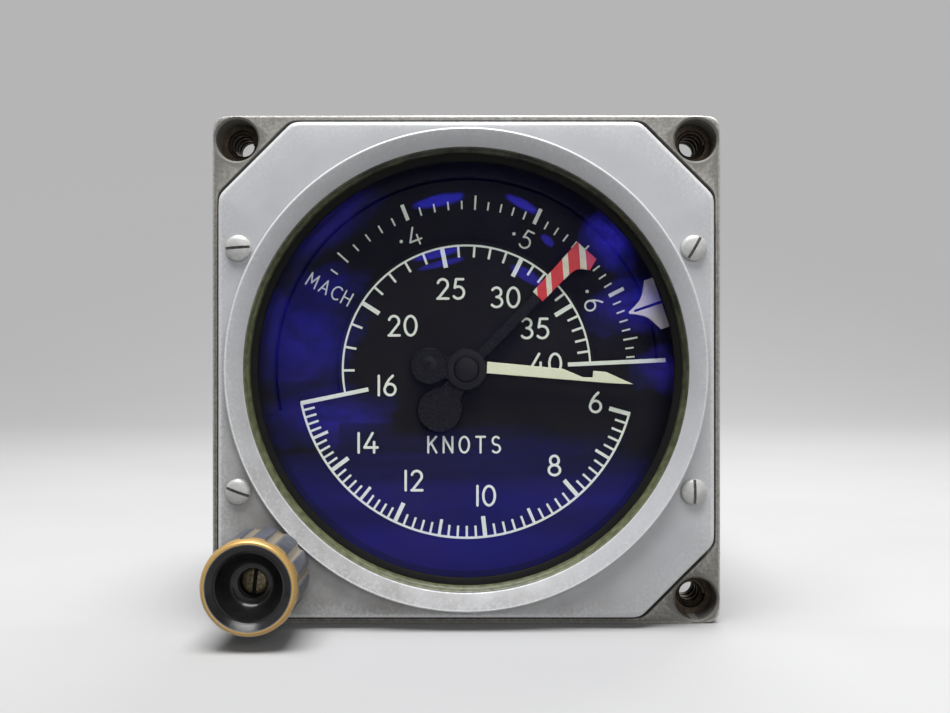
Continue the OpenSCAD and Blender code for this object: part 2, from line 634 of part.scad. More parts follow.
case_body();
thread_inserts();
rear_cover();
rear_cover_seal();
rear_cover_screws();
pitot_union();
static_union();
bezel();
bezel_screws();
glass();
glass_seal();
glass_keeper();
bug_ring();
speed_bug();
bug_pinion();
knob_shaft();
knob_bush();
knob();
knob_screw();
main_dial();
dial_scale();
dial_ring();
dial_ring_screws();
mach_disc();
mach_scale();
mach_sleeve();
airspeed_pointer();
pointer_hub();
pointer_spindle();
limit_head();
limit_arm();
limit_sleeve();
front_plate();
front_bush();
rear_plate();
spindle_bush();
frame_pillars();
plate_screws();
airspeed_sector();
airspeed_arbor();
airspeed_crank();
airspeed_link();
airspeed_capsule();
capsule_bracket();
bracket_screws();
pitot_pipe();
mach_sector();
limit_sector();
altitude_arbor();
altitude_crank();
altitude_link();
aneroid_stack();
hairspring();
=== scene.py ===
"""Airspeed indicator with a turning Mach scale: its looks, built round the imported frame."""

from __future__ import annotations

import json
import logging
import math
from dataclasses import dataclass, field
from enum import Enum
from typing import Sequence

import bmesh
import bpy
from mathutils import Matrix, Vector

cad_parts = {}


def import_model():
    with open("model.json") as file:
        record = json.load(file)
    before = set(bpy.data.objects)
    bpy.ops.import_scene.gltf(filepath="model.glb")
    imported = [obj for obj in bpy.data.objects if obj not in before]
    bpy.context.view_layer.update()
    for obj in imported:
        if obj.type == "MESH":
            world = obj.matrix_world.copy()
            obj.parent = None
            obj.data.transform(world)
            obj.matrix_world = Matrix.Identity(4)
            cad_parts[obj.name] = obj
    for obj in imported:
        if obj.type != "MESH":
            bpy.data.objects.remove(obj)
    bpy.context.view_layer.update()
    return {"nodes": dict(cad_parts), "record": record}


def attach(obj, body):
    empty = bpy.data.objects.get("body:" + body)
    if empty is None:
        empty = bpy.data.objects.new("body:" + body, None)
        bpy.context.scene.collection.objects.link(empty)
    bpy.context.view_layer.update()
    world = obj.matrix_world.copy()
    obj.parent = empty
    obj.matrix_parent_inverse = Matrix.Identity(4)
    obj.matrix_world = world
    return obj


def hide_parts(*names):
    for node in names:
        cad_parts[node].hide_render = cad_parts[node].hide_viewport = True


LOG = logging.getLogger("airspeed_indicator")
MM = 0.001
TAU = 2 * math.pi
ROUND = 144
IMAGE_WIDTH = 950

Colour = tuple[float, float, float, float]
Point = tuple[float, float, float]
Flat = tuple[float, float]
Loop = list[Point]

KNOB_AT: Flat = (-31.678, -31.678)
SLOT_REACH = 3.2
WELD = 2e-7
OUTLINE_SCALE = 50
# Printed strokes lie at slightly different heights, so that no two that cross share a plane.
STROKE_STEP = 0.003
STROKE_HEIGHTS = 6


def shade(red: int, green: int, blue: int) -> Colour:
    """Turns a screen colour into the linear colour that shaders take.

    Args:
        red: Red from 0 to 255.
        green: Green from 0 to 255.
        blue: Blue from 0 to 255.

    Returns:
        The linear colour.
    """
    parts = [c / 255 for c in (red, green, blue)]
    linear = [c / 12.92 if c <= 0.04045 else ((c + 0.055) / 1.055) ** 2.4 for c in parts]
    return linear[0], linear[1], linear[2], 1.0


def grey(level: float) -> Colour:
    """Gives a neutral linear colour."""
    return level, level, level, 1.0


def clock(angle: float) -> Flat:
    """Gives the (x, z) direction of a clock angle, in degrees from twelve."""
    turn = math.radians(angle)
    return math.sin(turn), math.cos(turn)


def polar(radius: float, angle: float) -> Flat:
    """Gives the (x, z) place at a radius and a clock angle."""
    x, z = clock(angle)
    return radius * x, radius * z


def at_depth(outline: Sequence[Flat], y: float) -> Loop:
    """Stands a flat outline at a place along Y."""
    return [(x, y, z) for x, z in outline]


def smooth_step(low: float, high: float, value: float) -> float:
    """Rises softly from 0 at low to 1 at high."""
    share = min(1.0, max(0.0, (value - low) / (high - low)))
    return share * share * (3 - 2 * share)


def circle(radius: float, y: float, centre: Flat = (0.0, 0.0), steps: int = ROUND) -> Loop:
    """Makes one round loop about a line along Y.

    Args:
        radius: Radius of the loop.
        y: Its place along Y.
        centre: Where the line crosses X and Z.
        steps: Points in the loop.

    Returns:
        The loop's points.
    """
    turns = [TAU * i / steps for i in range(steps)]
    return [(centre[0] + radius * math.cos(t), y, centre[1] + radius * math.sin(t)) for t in turns]


def arc(cx: float, cz: float, rx: float, rz: float, start: float, end: float) -> list[Flat]:
    """Gives points along part of an oval.

    Args:
        cx: Its middle along x.
        cz: Its middle along z.
        rx: Half its width.
        rz: Half its height.
        start: First angle in degrees.
        end: Last angle in degrees.

    Returns:
        The points, about 12 degrees apart.
    """
    steps = max(4, int(abs(end - start) / 12))
    turns = [math.radians(start + (end - start) * i / steps) for i in range(steps + 1)]
    return [(cx + rx * math.cos(t), cz + rz * math.sin(t)) for t in turns]


class Ends(Enum):
    """How the first and last loops of a skinned row are treated."""

    SHUT = "closed by faces"
    OPEN = "left to meet other loops"
    JOINED = "joined to each other"


class Bench:
    """Adds and links nodes in one node tree."""

    def __init__(self, tree: bpy.types.NodeTree) -> None:
        """Keeps the tree to work on."""
        self.tree = tree

    def put(self, socket: bpy.types.NodeSocket, value: object) -> None:
        """Links a socket to the input, or sets a plain value on it.

        Args:
            socket: The input.
            value: A socket or a plain value.
        """
        if isinstance(value, bpy.types.NodeSocket):
            self.tree.links.new(value, socket)
        else:
            socket.default_value = value

    def add(self, kind: str, inputs: dict | None = None, **options: object) -> bpy.types.Node:
        """Adds one node.

        Args:
            kind: The node's type name.
            inputs: Values or sockets for its inputs, by name or number.
            options: Settings of the node itself.

        Returns:
            The new node.
        """
        node = self.tree.nodes.new(kind)
        for key, value in options.items():
            setattr(node, key, value)
        for key, value in (inputs or {}).items():
            self.put(node.inputs[key], value)
        return node

    def noise(self, place: bpy.types.NodeSocket, size_mm: float, detail: float = 3.0) -> bpy.types.NodeSocket:
        """Adds noise with features of about the given size."""
        inputs = {"Vector": place, "Scale": 1 / (size_mm * MM), "Detail": detail, "Roughness": 0.6}
        return self.add("ShaderNodeTexNoise", inputs).outputs["Fac"]

    def ramp(
        self, factor: bpy.types.NodeSocket, stops: Sequence[tuple[float, Colour]], hard: bool = False
    ) -> bpy.types.NodeSocket:
        """Turns a factor into colours.

        Args:
            factor: What drives the ramp.
            stops: Places from 0 to 1 with their colours, in rising order.
            hard: Whether the colours meet at sharp edges.

        Returns:
            The colour socket.
        """
        node = self.add("ShaderNodeValToRGB", {"Fac": factor})
        node.color_ramp.interpolation = "CONSTANT" if hard else "LINEAR"
        elements = node.color_ramp.elements
        while len(elements) < len(stops):
            elements.new(1.0)
        for element, (place, colour) in zip(elements, stops):
            element.position = place
            element.color = colour
        return node.outputs["Color"]

    def blend(self, factor: object, first: object, second: object, mode: str = "MIX") -> bpy.types.NodeSocket:
        """Mixes two colours by a factor."""
        node = self.add("ShaderNodeMix", {0: factor, 6: first, 7: second}, data_type="RGBA", blend_type=mode)
        return node.outputs[2]

    def sum(self, operation: str, first: object, second: object, limit: bool = False) -> bpy.types.NodeSocket:
        """Works out one sum of two numbers."""
        node = self.add("ShaderNodeMath", {0: first, 1: second}, operation=operation, use_clamp=limit)
        return node.outputs[0]

    def span(self, value: object, low: float, high: float, start: float, end: float) -> bpy.types.NodeSocket:
        """Maps a value from one span to another and holds it there."""
        inputs = {"Value": value, "From Min": low, "From Max": high, "To Min": start, "To Max": end}
        return self.add("ShaderNodeMapRange", inputs).outputs["Result"]


def new_paint(name: str) -> tuple[bpy.types.Material, Bench, bpy.types.NodeInputs, bpy.types.NodeSocket]:
    """Starts a material on object coordinates.

    Args:
        name: The material's name.

    Returns:
        The material, its nodes, its shader's sockets and the coordinates.
    """
    mat = bpy.data.materials.new(name)
    mat.use_nodes = True
    bench = Bench(mat.node_tree)
    place = bench.add("ShaderNodeTexCoord").outputs["Object"]
    return mat, bench, mat.node_tree.nodes["Principled BSDF"].inputs, place


@dataclass(frozen=True)
class Finish:
    """A surface finish: a colour in soft patches, a grain, gloss, wear along edges, and dirt mixed with
    painted shade.
    """

    name: str
    base: Colour
    patch: Colour
    patch_mm: float = 6.0
    grain_mm: float = 0.4
    fleck: float = 0.12
    bump: float = 0.08
    rough: Flat = (0.4, 0.6)
    metal: float = 0.0
    coat: float = 0.0
    worn: tuple[tuple[float, Colour], ...] = ()
    worn_metal: float = 0.0
    worn_rough: float = 0.35
    ragged: float = 0.3
    # These darken a piece in patches along a slant in X and Z: handling dirt together with painted shade
    # where shadow falls.
    soil: Colour | None = None
    soil_span: Flat = (-6.0, -44.0)
    soil_most: float = 0.75
    sheen: float = 0.5

    def build(self) -> bpy.types.Material:
        """Builds the finish as a material on object coordinates.

        Returns:
            The finished material.
        """
        mat, bench, sockets, place = new_paint(self.name)
        grain = bench.noise(place, self.grain_mm, 4.0)
        colour = bench.ramp(bench.noise(place, self.patch_mm), [(0.36, self.base), (0.66, self.patch)])
        fleck = bench.ramp(grain, [(0.3, grey(1 - self.fleck)), (0.7, grey(1.0))])
        colour = bench.blend(1.0, colour, fleck, "MULTIPLY")
        gloss = bench.span(grain, 0.3, 0.7, *self.rough)
        if self.soil:
            colour = self.soiled(bench, place, colour)
        sockets["Metallic"].default_value = self.metal
        sockets["Specular IOR Level"].default_value = self.sheen
        if self.worn:
            amount = self.wear(bench, place)
            colour = bench.blend(amount, colour, bench.ramp(amount, self.worn))
            change = bench.span(amount, 0, 1, 0, self.worn_rough - self.rough[1])
            gloss = bench.sum("ADD", gloss, change, True)
            if self.worn_metal != self.metal:
                bench.put(sockets["Metallic"], bench.span(amount, 0.3, 0.9, self.metal, self.worn_metal))
        bench.put(sockets["Base Color"], colour)
        bench.put(sockets["Roughness"], gloss)
        sockets["Coat Weight"].default_value = self.coat
        inputs = {"Height": grain, "Strength": self.bump, "Distance": self.grain_mm * MM * 0.4}
        bench.put(sockets["Normal"], bench.add("ShaderNodeBump", inputs).outputs["Normal"])
        return mat

    def wear(self, bench: Bench, place: bpy.types.NodeSocket) -> bpy.types.NodeSocket:
        """Gives how far the finish is rubbed off, ragged along the marked edges.

        Args:
            bench: The material's nodes.
            place: Object coordinates.

        Returns:
            A number from 0 to 1.
        """
        mark = bench.add("ShaderNodeAttribute", attribute_name="worn").outputs["Fac"]
        ragged = bench.span(bench.noise(place, self.grain_mm * 2.5, 5.0), 0.2, 0.8, -self.ragged, self.ragged)
        return bench.span(bench.sum("ADD", mark, ragged), 0.3, 0.95, 0.0, 1.0)

    def soiled(
        self, bench: Bench, place: bpy.types.NodeSocket, colour: bpy.types.NodeSocket
    ) -> bpy.types.NodeSocket:
        """Darkens the piece in patches along a slant in X and Z: handling dirt together with painted shade.

        Args:
            bench: The material's nodes.
            place: Object coordinates.
            colour: The colour below the dirt and painted shade.

        Returns:
            The colour with dirt and painted shade laid over it.
        """
        parts = bench.add("ShaderNodeSeparateXYZ", {0: place}).outputs
        down = bench.sum("MULTIPLY_ADD", parts["X"], 0.55)
        bench.put(down.node.inputs[2], parts["Z"])
        low = bench.span(down, self.soil_span[0] * MM, self.soil_span[1] * MM, 0.0, 1.0)
        cloud = bench.span(bench.noise(place, 5.0, 5.0), 0.3, 0.68, 0.25 * self.soil_most, self.soil_most)
        return bench.blend(bench.sum("MULTIPLY", low, cloud), colour, self.soil)


@dataclass(frozen=True)
class StripeFinish:
    """Red and pale enamel in upright bands across the limit pointer's head."""

    name: str = "limit_stripes"
    red: Colour = shade(218, 30, 36)
    deep_red: Colour = shade(202, 22, 34)
    pale: Colour = shade(232, 227, 204)
    dull_pale: Colour = shade(208, 202, 178)
    middle_z: float = 14.5
    edges: tuple[float, ...] = (11.5, 13.05, 13.95, 15.95, 16.95, 18.85, 19.9)
    reach: Flat = (9.0, 23.0)
    lean: float = -0.07

    def build(self) -> bpy.types.Material:
        """Builds the striped enamel.

        Returns:
            The finished material.
        """
        mat, bench, sockets, place = new_paint(self.name)
        parts = bench.add("ShaderNodeSeparateXYZ", {0: place}).outputs
        slant = bench.sum("MULTIPLY", bench.sum("SUBTRACT", parts["Z"], self.middle_z * MM), self.lean)
        across = bench.sum("SUBTRACT", parts["X"], slant)
        share = bench.span(across, self.reach[0] * MM, self.reach[1] * MM, 0.0, 1.0)
        stops = [(0.0, grey(0.0))]
        for number, edge in enumerate(self.edges):
            place_on = (edge - self.reach[0]) / (self.reach[1] - self.reach[0])
            stops.append((place_on, grey(1.0 if number % 2 == 0 else 0.0)))
        banded = bench.ramp(share, stops, True)
        red = bench.ramp(bench.noise(place, 1.6), [(0.35, self.red), (0.65, self.deep_red)])
        pale = bench.ramp(bench.noise(place, 0.7), [(0.3, self.pale), (0.8, self.dull_pale)])
        bench.put(sockets["Base Color"], bench.blend(banded, pale, red))
        bench.put(sockets["Roughness"], bench.span(bench.noise(place, 0.3), 0.3, 0.7, 0.35, 0.55))
        return mat


@dataclass(frozen=True)
class GlassFinish:
    """Clear glass with a blue anti-reflection coat on each face."""

    name: str = "coated_glass"
    coat_blue: Colour = (0.03, 0.035, 0.95, 1.0)
    coat_violet: Colour = (0.07, 0.045, 0.8, 1.0)
    cover: float = 0.09

    def build(self) -> bpy.types.Material:
        """Builds the coated glass.

        Returns:
            The finished material.
        """
        mat, bench, sockets, place = new_paint(self.name)
        coat = bench.ramp(bench.noise(place, 22.0), [(0.36, self.coat_blue), (0.66, self.coat_violet)])
        bench.put(sockets["Base Color"], coat)
        sockets["Metallic"].default_value = 1.0
        sockets["Alpha"].default_value = self.cover
        smear = bench.noise(place, 7.0, 5.0)
        bench.put(sockets["Roughness"], bench.span(smear, 0.4, 0.75, 0.004, 0.022))
        return mat


class Skin:
    """The faces of one piece, given in millimetres, with a wear value at each point."""

    def __init__(self) -> None:
        """Starts with no faces."""
        self.bm = bmesh.new()
        self.worn = self.bm.verts.layers.float.new("worn")
        self.strokes = 0

    def loft(
        self,
        loops: Sequence[Loop],
        worn: Sequence[float | Sequence[float]] | None = None,
        ends: Ends = Ends.SHUT,
        tint: int = 0,
    ) -> None:
        """Skins a row of loops that all have the same number of points.

        Args:
            loops: The loops in order.
            worn: Wear of each loop, or of each point in it.
            ends: What becomes of the first and last loops.
            tint: Which of the piece's finishes the faces take.
        """
        rows = []
        for number, loop in enumerate(loops):
            rubbed = worn[number] if worn else 0.0
            row = []
            for index, point in enumerate(loop):
                vert = self.bm.verts.new([c * MM for c in point])
                vert[self.worn] = rubbed if isinstance(rubbed, (int, float)) else rubbed[index]
                row.append(vert)
            rows.append(row)
        count = len(loops[0])
        pairs = list(zip(rows, rows[1:]))
        if ends is Ends.JOINED:
            pairs.append((rows[-1], rows[0]))
        elif ends is Ends.SHUT:
            self.face(rows[0][::-1], tint)
            self.face(rows[-1], tint)
        for here, there in pairs:
            for i in range(count):
                j = (i + 1) % count
                self.face((here[i], here[j], there[j], there[i]), tint)

    def face(self, verts: Sequence[bmesh.types.BMVert], tint: int) -> None:
        """Adds one face in the given finish."""
        self.bm.faces.new(verts).material_index = tint

    def turn(
        self,
        profile: Sequence[Flat | tuple[float, float, float]],
        centre: Flat = (0.0, 0.0),
        ends: Ends = Ends.SHUT,
        steps: int = ROUND,
        tint: int = 0,
    ) -> None:
        """Turns a profile about a line along Y.

        Args:
            profile: Radius, place along Y and, if it is rubbed, wear of each point.
            centre: Where the line crosses X and Z.
            ends: JOINED for a ring, SHUT for a solid.
            steps: Points in a round.
            tint: Which of the piece's finishes the faces take.
        """
        loops = [circle(p[0], p[1], centre, steps) for p in profile]
        self.loft(loops, [p[2] if len(p) > 2 else 0.0 for p in profile], ends, tint)

    def plate(
        self, outline: Sequence[Flat], front: float, back: float, soften: float = 0.06, tint: int = 0
    ) -> None:
        """Adds a flat plate with softened front edges.

        Args:
            outline: Corners as (x, z).
            front: Its front along Y.
            back: Its back along Y.
            soften: How far the front edges are drawn in.
            tint: Which of the piece's finishes the faces take.
        """
        near = inset(outline, soften)
        loops = [at_depth(outline, back), at_depth(outline, front + soften), at_depth(near, front)]
        self.loft(loops, [0.0, 0.5, 1.0], Ends.SHUT, tint)

    def stroke(self, path: Sequence[Flat], width: float, front: float, back: float) -> None:
        """Lays one printed stroke with round ends.

        Args:
            path: Points of its middle line as (x, z).
            width: Width of the stroke.
            front: Its front along Y.
            back: Its back along Y.
        """
        self.strokes += 1
        front -= STROKE_STEP * (self.strokes % STROKE_HEIGHTS + 1)
        half = width / 2
        shut = math.dist(path[0], path[-1]) < 1e-6
        points = list(path[:-1]) if shut else list(path)
        count = len(points)
        sections = []
        for i, point in enumerate(points):
            before = points[i - 1] if shut or i else point
            after = points[(i + 1) % count] if shut or i < count - 1 else point
            along = Vector((after[0] - before[0], after[1] - before[1])).normalized()
            sections.append((Vector(point), along, half))
        if not shut:
            first, last = sections[0], sections[-1]
            for lean in (25, 50, 75):
                reach, thin = half * math.sin(math.radians(lean)), half * math.cos(math.radians(lean))
                sections.insert(0, (first[0] - first[1] * reach, first[1], thin))
                sections.append((last[0] + last[1] * reach, last[1], thin))
        loops = []
        for middle, along, thick in sections:
            side = Vector((-along.y, along.x)) * thick
            a, b = middle + side, middle - side
            loops.append([(a.x, front, a.y), (b.x, front, b.y), (b.x, back, b.y), (a.x, back, a.y)])
        self.loft(loops, None, Ends.JOINED if shut else Ends.SHUT)

    def take(self, mesh: bpy.types.Mesh, tint: int = 0) -> None:
        """Adds the faces of a finished mesh and lets the mesh go.

        Args:
            mesh: The mesh, which is used up.
            tint: Which of the piece's finishes the faces take.
        """
        known = set(self.bm.faces)
        self.bm.from_mesh(mesh)
        for face in self.bm.faces:
            if face not in known:
                face.material_index = tint
        bpy.data.meshes.remove(mesh)

    def object(self, name: str, mats: Sequence[bpy.types.Material] = ()) -> bpy.types.Object:
        """Makes the piece's object, with its place in its mesh.

        Args:
            name: The piece's name.
            mats: Its materials, by tint.

        Returns:
            The new object.
        """
        bmesh.ops.remove_doubles(self.bm, verts=self.bm.verts, dist=WELD)
        bmesh.ops.recalc_face_normals(self.bm, faces=self.bm.faces)
        mesh = bpy.data.meshes.new(name)
        self.bm.to_mesh(mesh)
        self.bm.free()
        for mat in mats:
            mesh.materials.append(mat)
        obj = bpy.data.objects.new(name, mesh)
        bpy.context.scene.collection.objects.link(obj)
        return obj


def inset(outline: Sequence[Flat], depth: float) -> list[Flat]:
    """Draws a closed outline inwards by a small depth.

    Args:
        outline: Corners as (x, z), either way round.
        depth: How far each edge moves in.

    Returns:
        The smaller outline, corner for corner.
    """
    count = len(outline)
    area = sum(
        outline[i][0] * outline[(i + 1) % count][1] - outline[(i + 1) % count][0] * outline[i][1]
        for i in range(count)
    )
    way = 1.0 if area > 0 else -1.0
    result = []
    for i, corner in enumerate(outline):
        here = Vector(corner)
        into = (here - Vector(outline[i - 1])).normalized()
        out = (Vector(outline[(i + 1) % count]) - here).normalized()
        side = Vector((-into.y, into.x)) + Vector((-out.y, out.x))
        stretch = max(0.5, side.length_squared / 2)
        moved = here + side * (way * depth / stretch)
        result.append((moved.x, moved.y))
    return result


def evaluated_mesh(obj: bpy.types.Object) -> bpy.types.Mesh:
    """Gives a plain mesh of the object with its modifiers applied."""
    graph = bpy.context.evaluated_depsgraph_get()
    return bpy.data.meshes.new_from_object(obj.evaluated_get(graph))


def carve(obj: bpy.types.Object, tool: Skin, operation: str = "DIFFERENCE") -> None:
    """Cuts a tool's shape from a piece, or joins it on.

    Args:
        obj: The piece.
        tool: The other shape, which is used up.
        operation: DIFFERENCE or UNION.
    """
    cutter = tool.object("cutter")
    mod = obj.modifiers.new("carve", "BOOLEAN")
    mod.operation = operation
    mod.object = cutter
    mod.solver = "EXACT"
    old, mesh = obj.data, evaluated_mesh(obj)
    obj.modifiers.remove(mod)
    obj.data = mesh
    bpy.data.meshes.remove(old)
    spent = cutter.data
    bpy.data.objects.remove(cutter)
    bpy.data.meshes.remove(spent)


class Tree:
    """A Geometry Nodes tree with named inputs, run to make plain meshes."""

    def __init__(self, name: str, inputs: dict[str, str]) -> None:
        """Makes an empty tree.

        Args:
            name: The tree's name.
            inputs: Socket kinds of its inputs, by name.
        """
        self.group = bpy.data.node_groups.new(name, "GeometryNodeTree")
        face = self.group.interface
        face.new_socket("Geometry", in_out="OUTPUT", socket_type="NodeSocketGeometry")
        face.new_socket("Geometry", in_out="INPUT", socket_type="NodeSocketGeometry")
        self.keys = {}
        for label, kind in (inputs | {"Finish": "Material"}).items():
            socket = face.new_socket(label, in_out="INPUT", socket_type="NodeSocket" + kind)
            self.keys[label] = socket.identifier
        self.bench = Bench(self.group)
        self.given = self.bench.add("NodeGroupInput").outputs

    def end(self, geometry: bpy.types.NodeSocket) -> None:
        """Closes the tree: realized instances in the chosen finish.

        Args:
            geometry: What the tree has made.
        """
        real = self.bench.add("GeometryNodeRealizeInstances", {0: geometry}).outputs[0]
        inputs = {"Geometry": real, "Material": self.given["Finish"]}
        dressed = self.bench.add("GeometryNodeSetMaterial", inputs).outputs[0]
        self.bench.add("NodeGroupOutput", {0: dressed})

    def run(self, values: dict[str, object], seed: bpy.types.Object | None = None) -> bpy.types.Mesh:
        """Runs the tree once.

        Args:
            values: The inputs by name, in metres and radians.
            seed: The object whose mesh goes in, or None for an empty one; it is used up.

        Returns:
            The resulting plain mesh.
        """
        obj = seed
        if obj is None:
            obj = bpy.data.objects.new("seed", bpy.data.meshes.new("seed"))
            bpy.context.scene.collection.objects.link(obj)
        mod = obj.modifiers.new("tree", "NODES")
        mod.node_group = self.group
        for label, value in values.items():
            mod[self.keys[label]] = value
        mesh = evaluated_mesh(obj)
        old = obj.data
        bpy.data.objects.remove(obj)
        bpy.data.meshes.remove(old)
        return mesh


class ScaleRule(Enum):
    """How a row of ticks is spaced."""

    EVEN = "equal steps of angle"
    RATIO = "steps by the logarithm of the value"


class TickTree(Tree):
    """Ticks about the dial axis: equal bars set out by a rule."""

    def __init__(self, name: str, rule: ScaleRule) -> None:
        """Builds the tree.

        Args:
            name: The tree's name.
            rule: Even steps, or steps by the logarithm of the value.
        """
        kinds = {"Count": "Int", "Length": "Float", "Width": "Float", "Height": "Float", "Middle": "Vector"}
        kinds |= {"First": "Float", "Step": "Float", "Turn": "Float", "Gain": "Float"}
        super().__init__(name, kinds)
        bench, given = self.bench, self.given
        size = bench.add("ShaderNodeCombineXYZ", {0: given["Length"], 1: given["Height"], 2: given["Width"]})
        bar = bench.add("GeometryNodeMeshCube", {"Size": size.outputs[0]}).outputs["Mesh"]
        bar = bench.add("GeometryNodeTransform", {"Geometry": bar, "Translation": given["Middle"]}).outputs[0]
        index = bench.add("GeometryNodeInputIndex").outputs[0]
        value = bench.sum("ADD", bench.sum("MULTIPLY", index, given["Step"]), given["First"])
        if rule is ScaleRule.RATIO:
            value = bench.sum("LOGARITHM", value, math.e)
        angle = bench.sum("ADD", bench.sum("MULTIPLY", value, given["Gain"]), given["Turn"])
        euler = bench.add("ShaderNodeCombineXYZ", {1: angle}).outputs[0]
        spin = bench.add("FunctionNodeEulerToRotation", {0: euler}).outputs[0]
        points = bench.add("GeometryNodePoints", {"Count": given["Count"]}).outputs[0]
        inputs = {"Points": points, "Instance": bar, "Rotation": spin}
        self.end(bench.add("GeometryNodeInstanceOnPoints", inputs).outputs[0])


class ThreadTree(Tree):
    """A screw thread: a ridge that winds along Y."""

    def __init__(self) -> None:
        """Builds the tree."""
        kinds = {"Turns": "Float", "Radius": "Float", "Length": "Float", "Ridge": "Float", "Start": "Vector"}
        super().__init__("thread", kinds)
        bench, given = self.bench, self.given
        inputs = {"Resolution": 40, "Rotations": given["Turns"], "Start Radius": given["Radius"]}
        inputs |= {"End Radius": given["Radius"], "Height": given["Length"]}
        path = bench.add("GeometryNodeCurveSpiral", inputs).outputs[0]
        inputs = {"Resolution": 6, "Radius": given["Ridge"]}
        ridge = bench.add("GeometryNodeCurvePrimitiveCircle", inputs).outputs["Curve"]
        inputs = {"Curve": path, "Profile Curve": ridge, "Fill Caps": True}
        wound = bench.add("GeometryNodeCurveToMesh", inputs).outputs[0]
        lie = (-math.pi / 2, 0.0, 0.0)
        inputs = {"Geometry": wound, "Translation": given["Start"], "Rotation": lie}
        self.end(bench.add("GeometryNodeTransform", inputs).outputs[0])


class RingTree(Tree):
    """Copies of one piece, evenly round the barrel's axis, each turned its own way."""

    def __init__(self) -> None:
        """Builds the tree."""
        super().__init__("ring_of_copies", {"Count": "Int", "Radius": "Float", "Seed": "Int"})
        bench, given = self.bench, self.given
        inputs = {"Vertices": given["Count"], "Radius": given["Radius"]}
        ring = bench.add("GeometryNodeMeshCircle", inputs).outputs[0]
        upright = {"Geometry": ring, "Rotation": (math.pi / 2, 0.0, 0.0)}
        ring = bench.add("GeometryNodeTransform", upright).outputs[0]
        chance = bench.add("FunctionNodeRandomValue", data_type="FLOAT")
        for number, value in ((2, 0.0), (3, TAU), (8, given["Seed"])):
            bench.put(chance.inputs[number], value)
        euler = bench.add("ShaderNodeCombineXYZ", {1: chance.outputs[1]}).outputs[0]
        spin = bench.add("FunctionNodeEulerToRotation", {0: euler}).outputs[0]
        inputs = {"Points": ring, "Instance": given["Geometry"], "Rotation": spin}
        self.end(bench.add("GeometryNodeInstanceOnPoints", inputs).outputs[0])


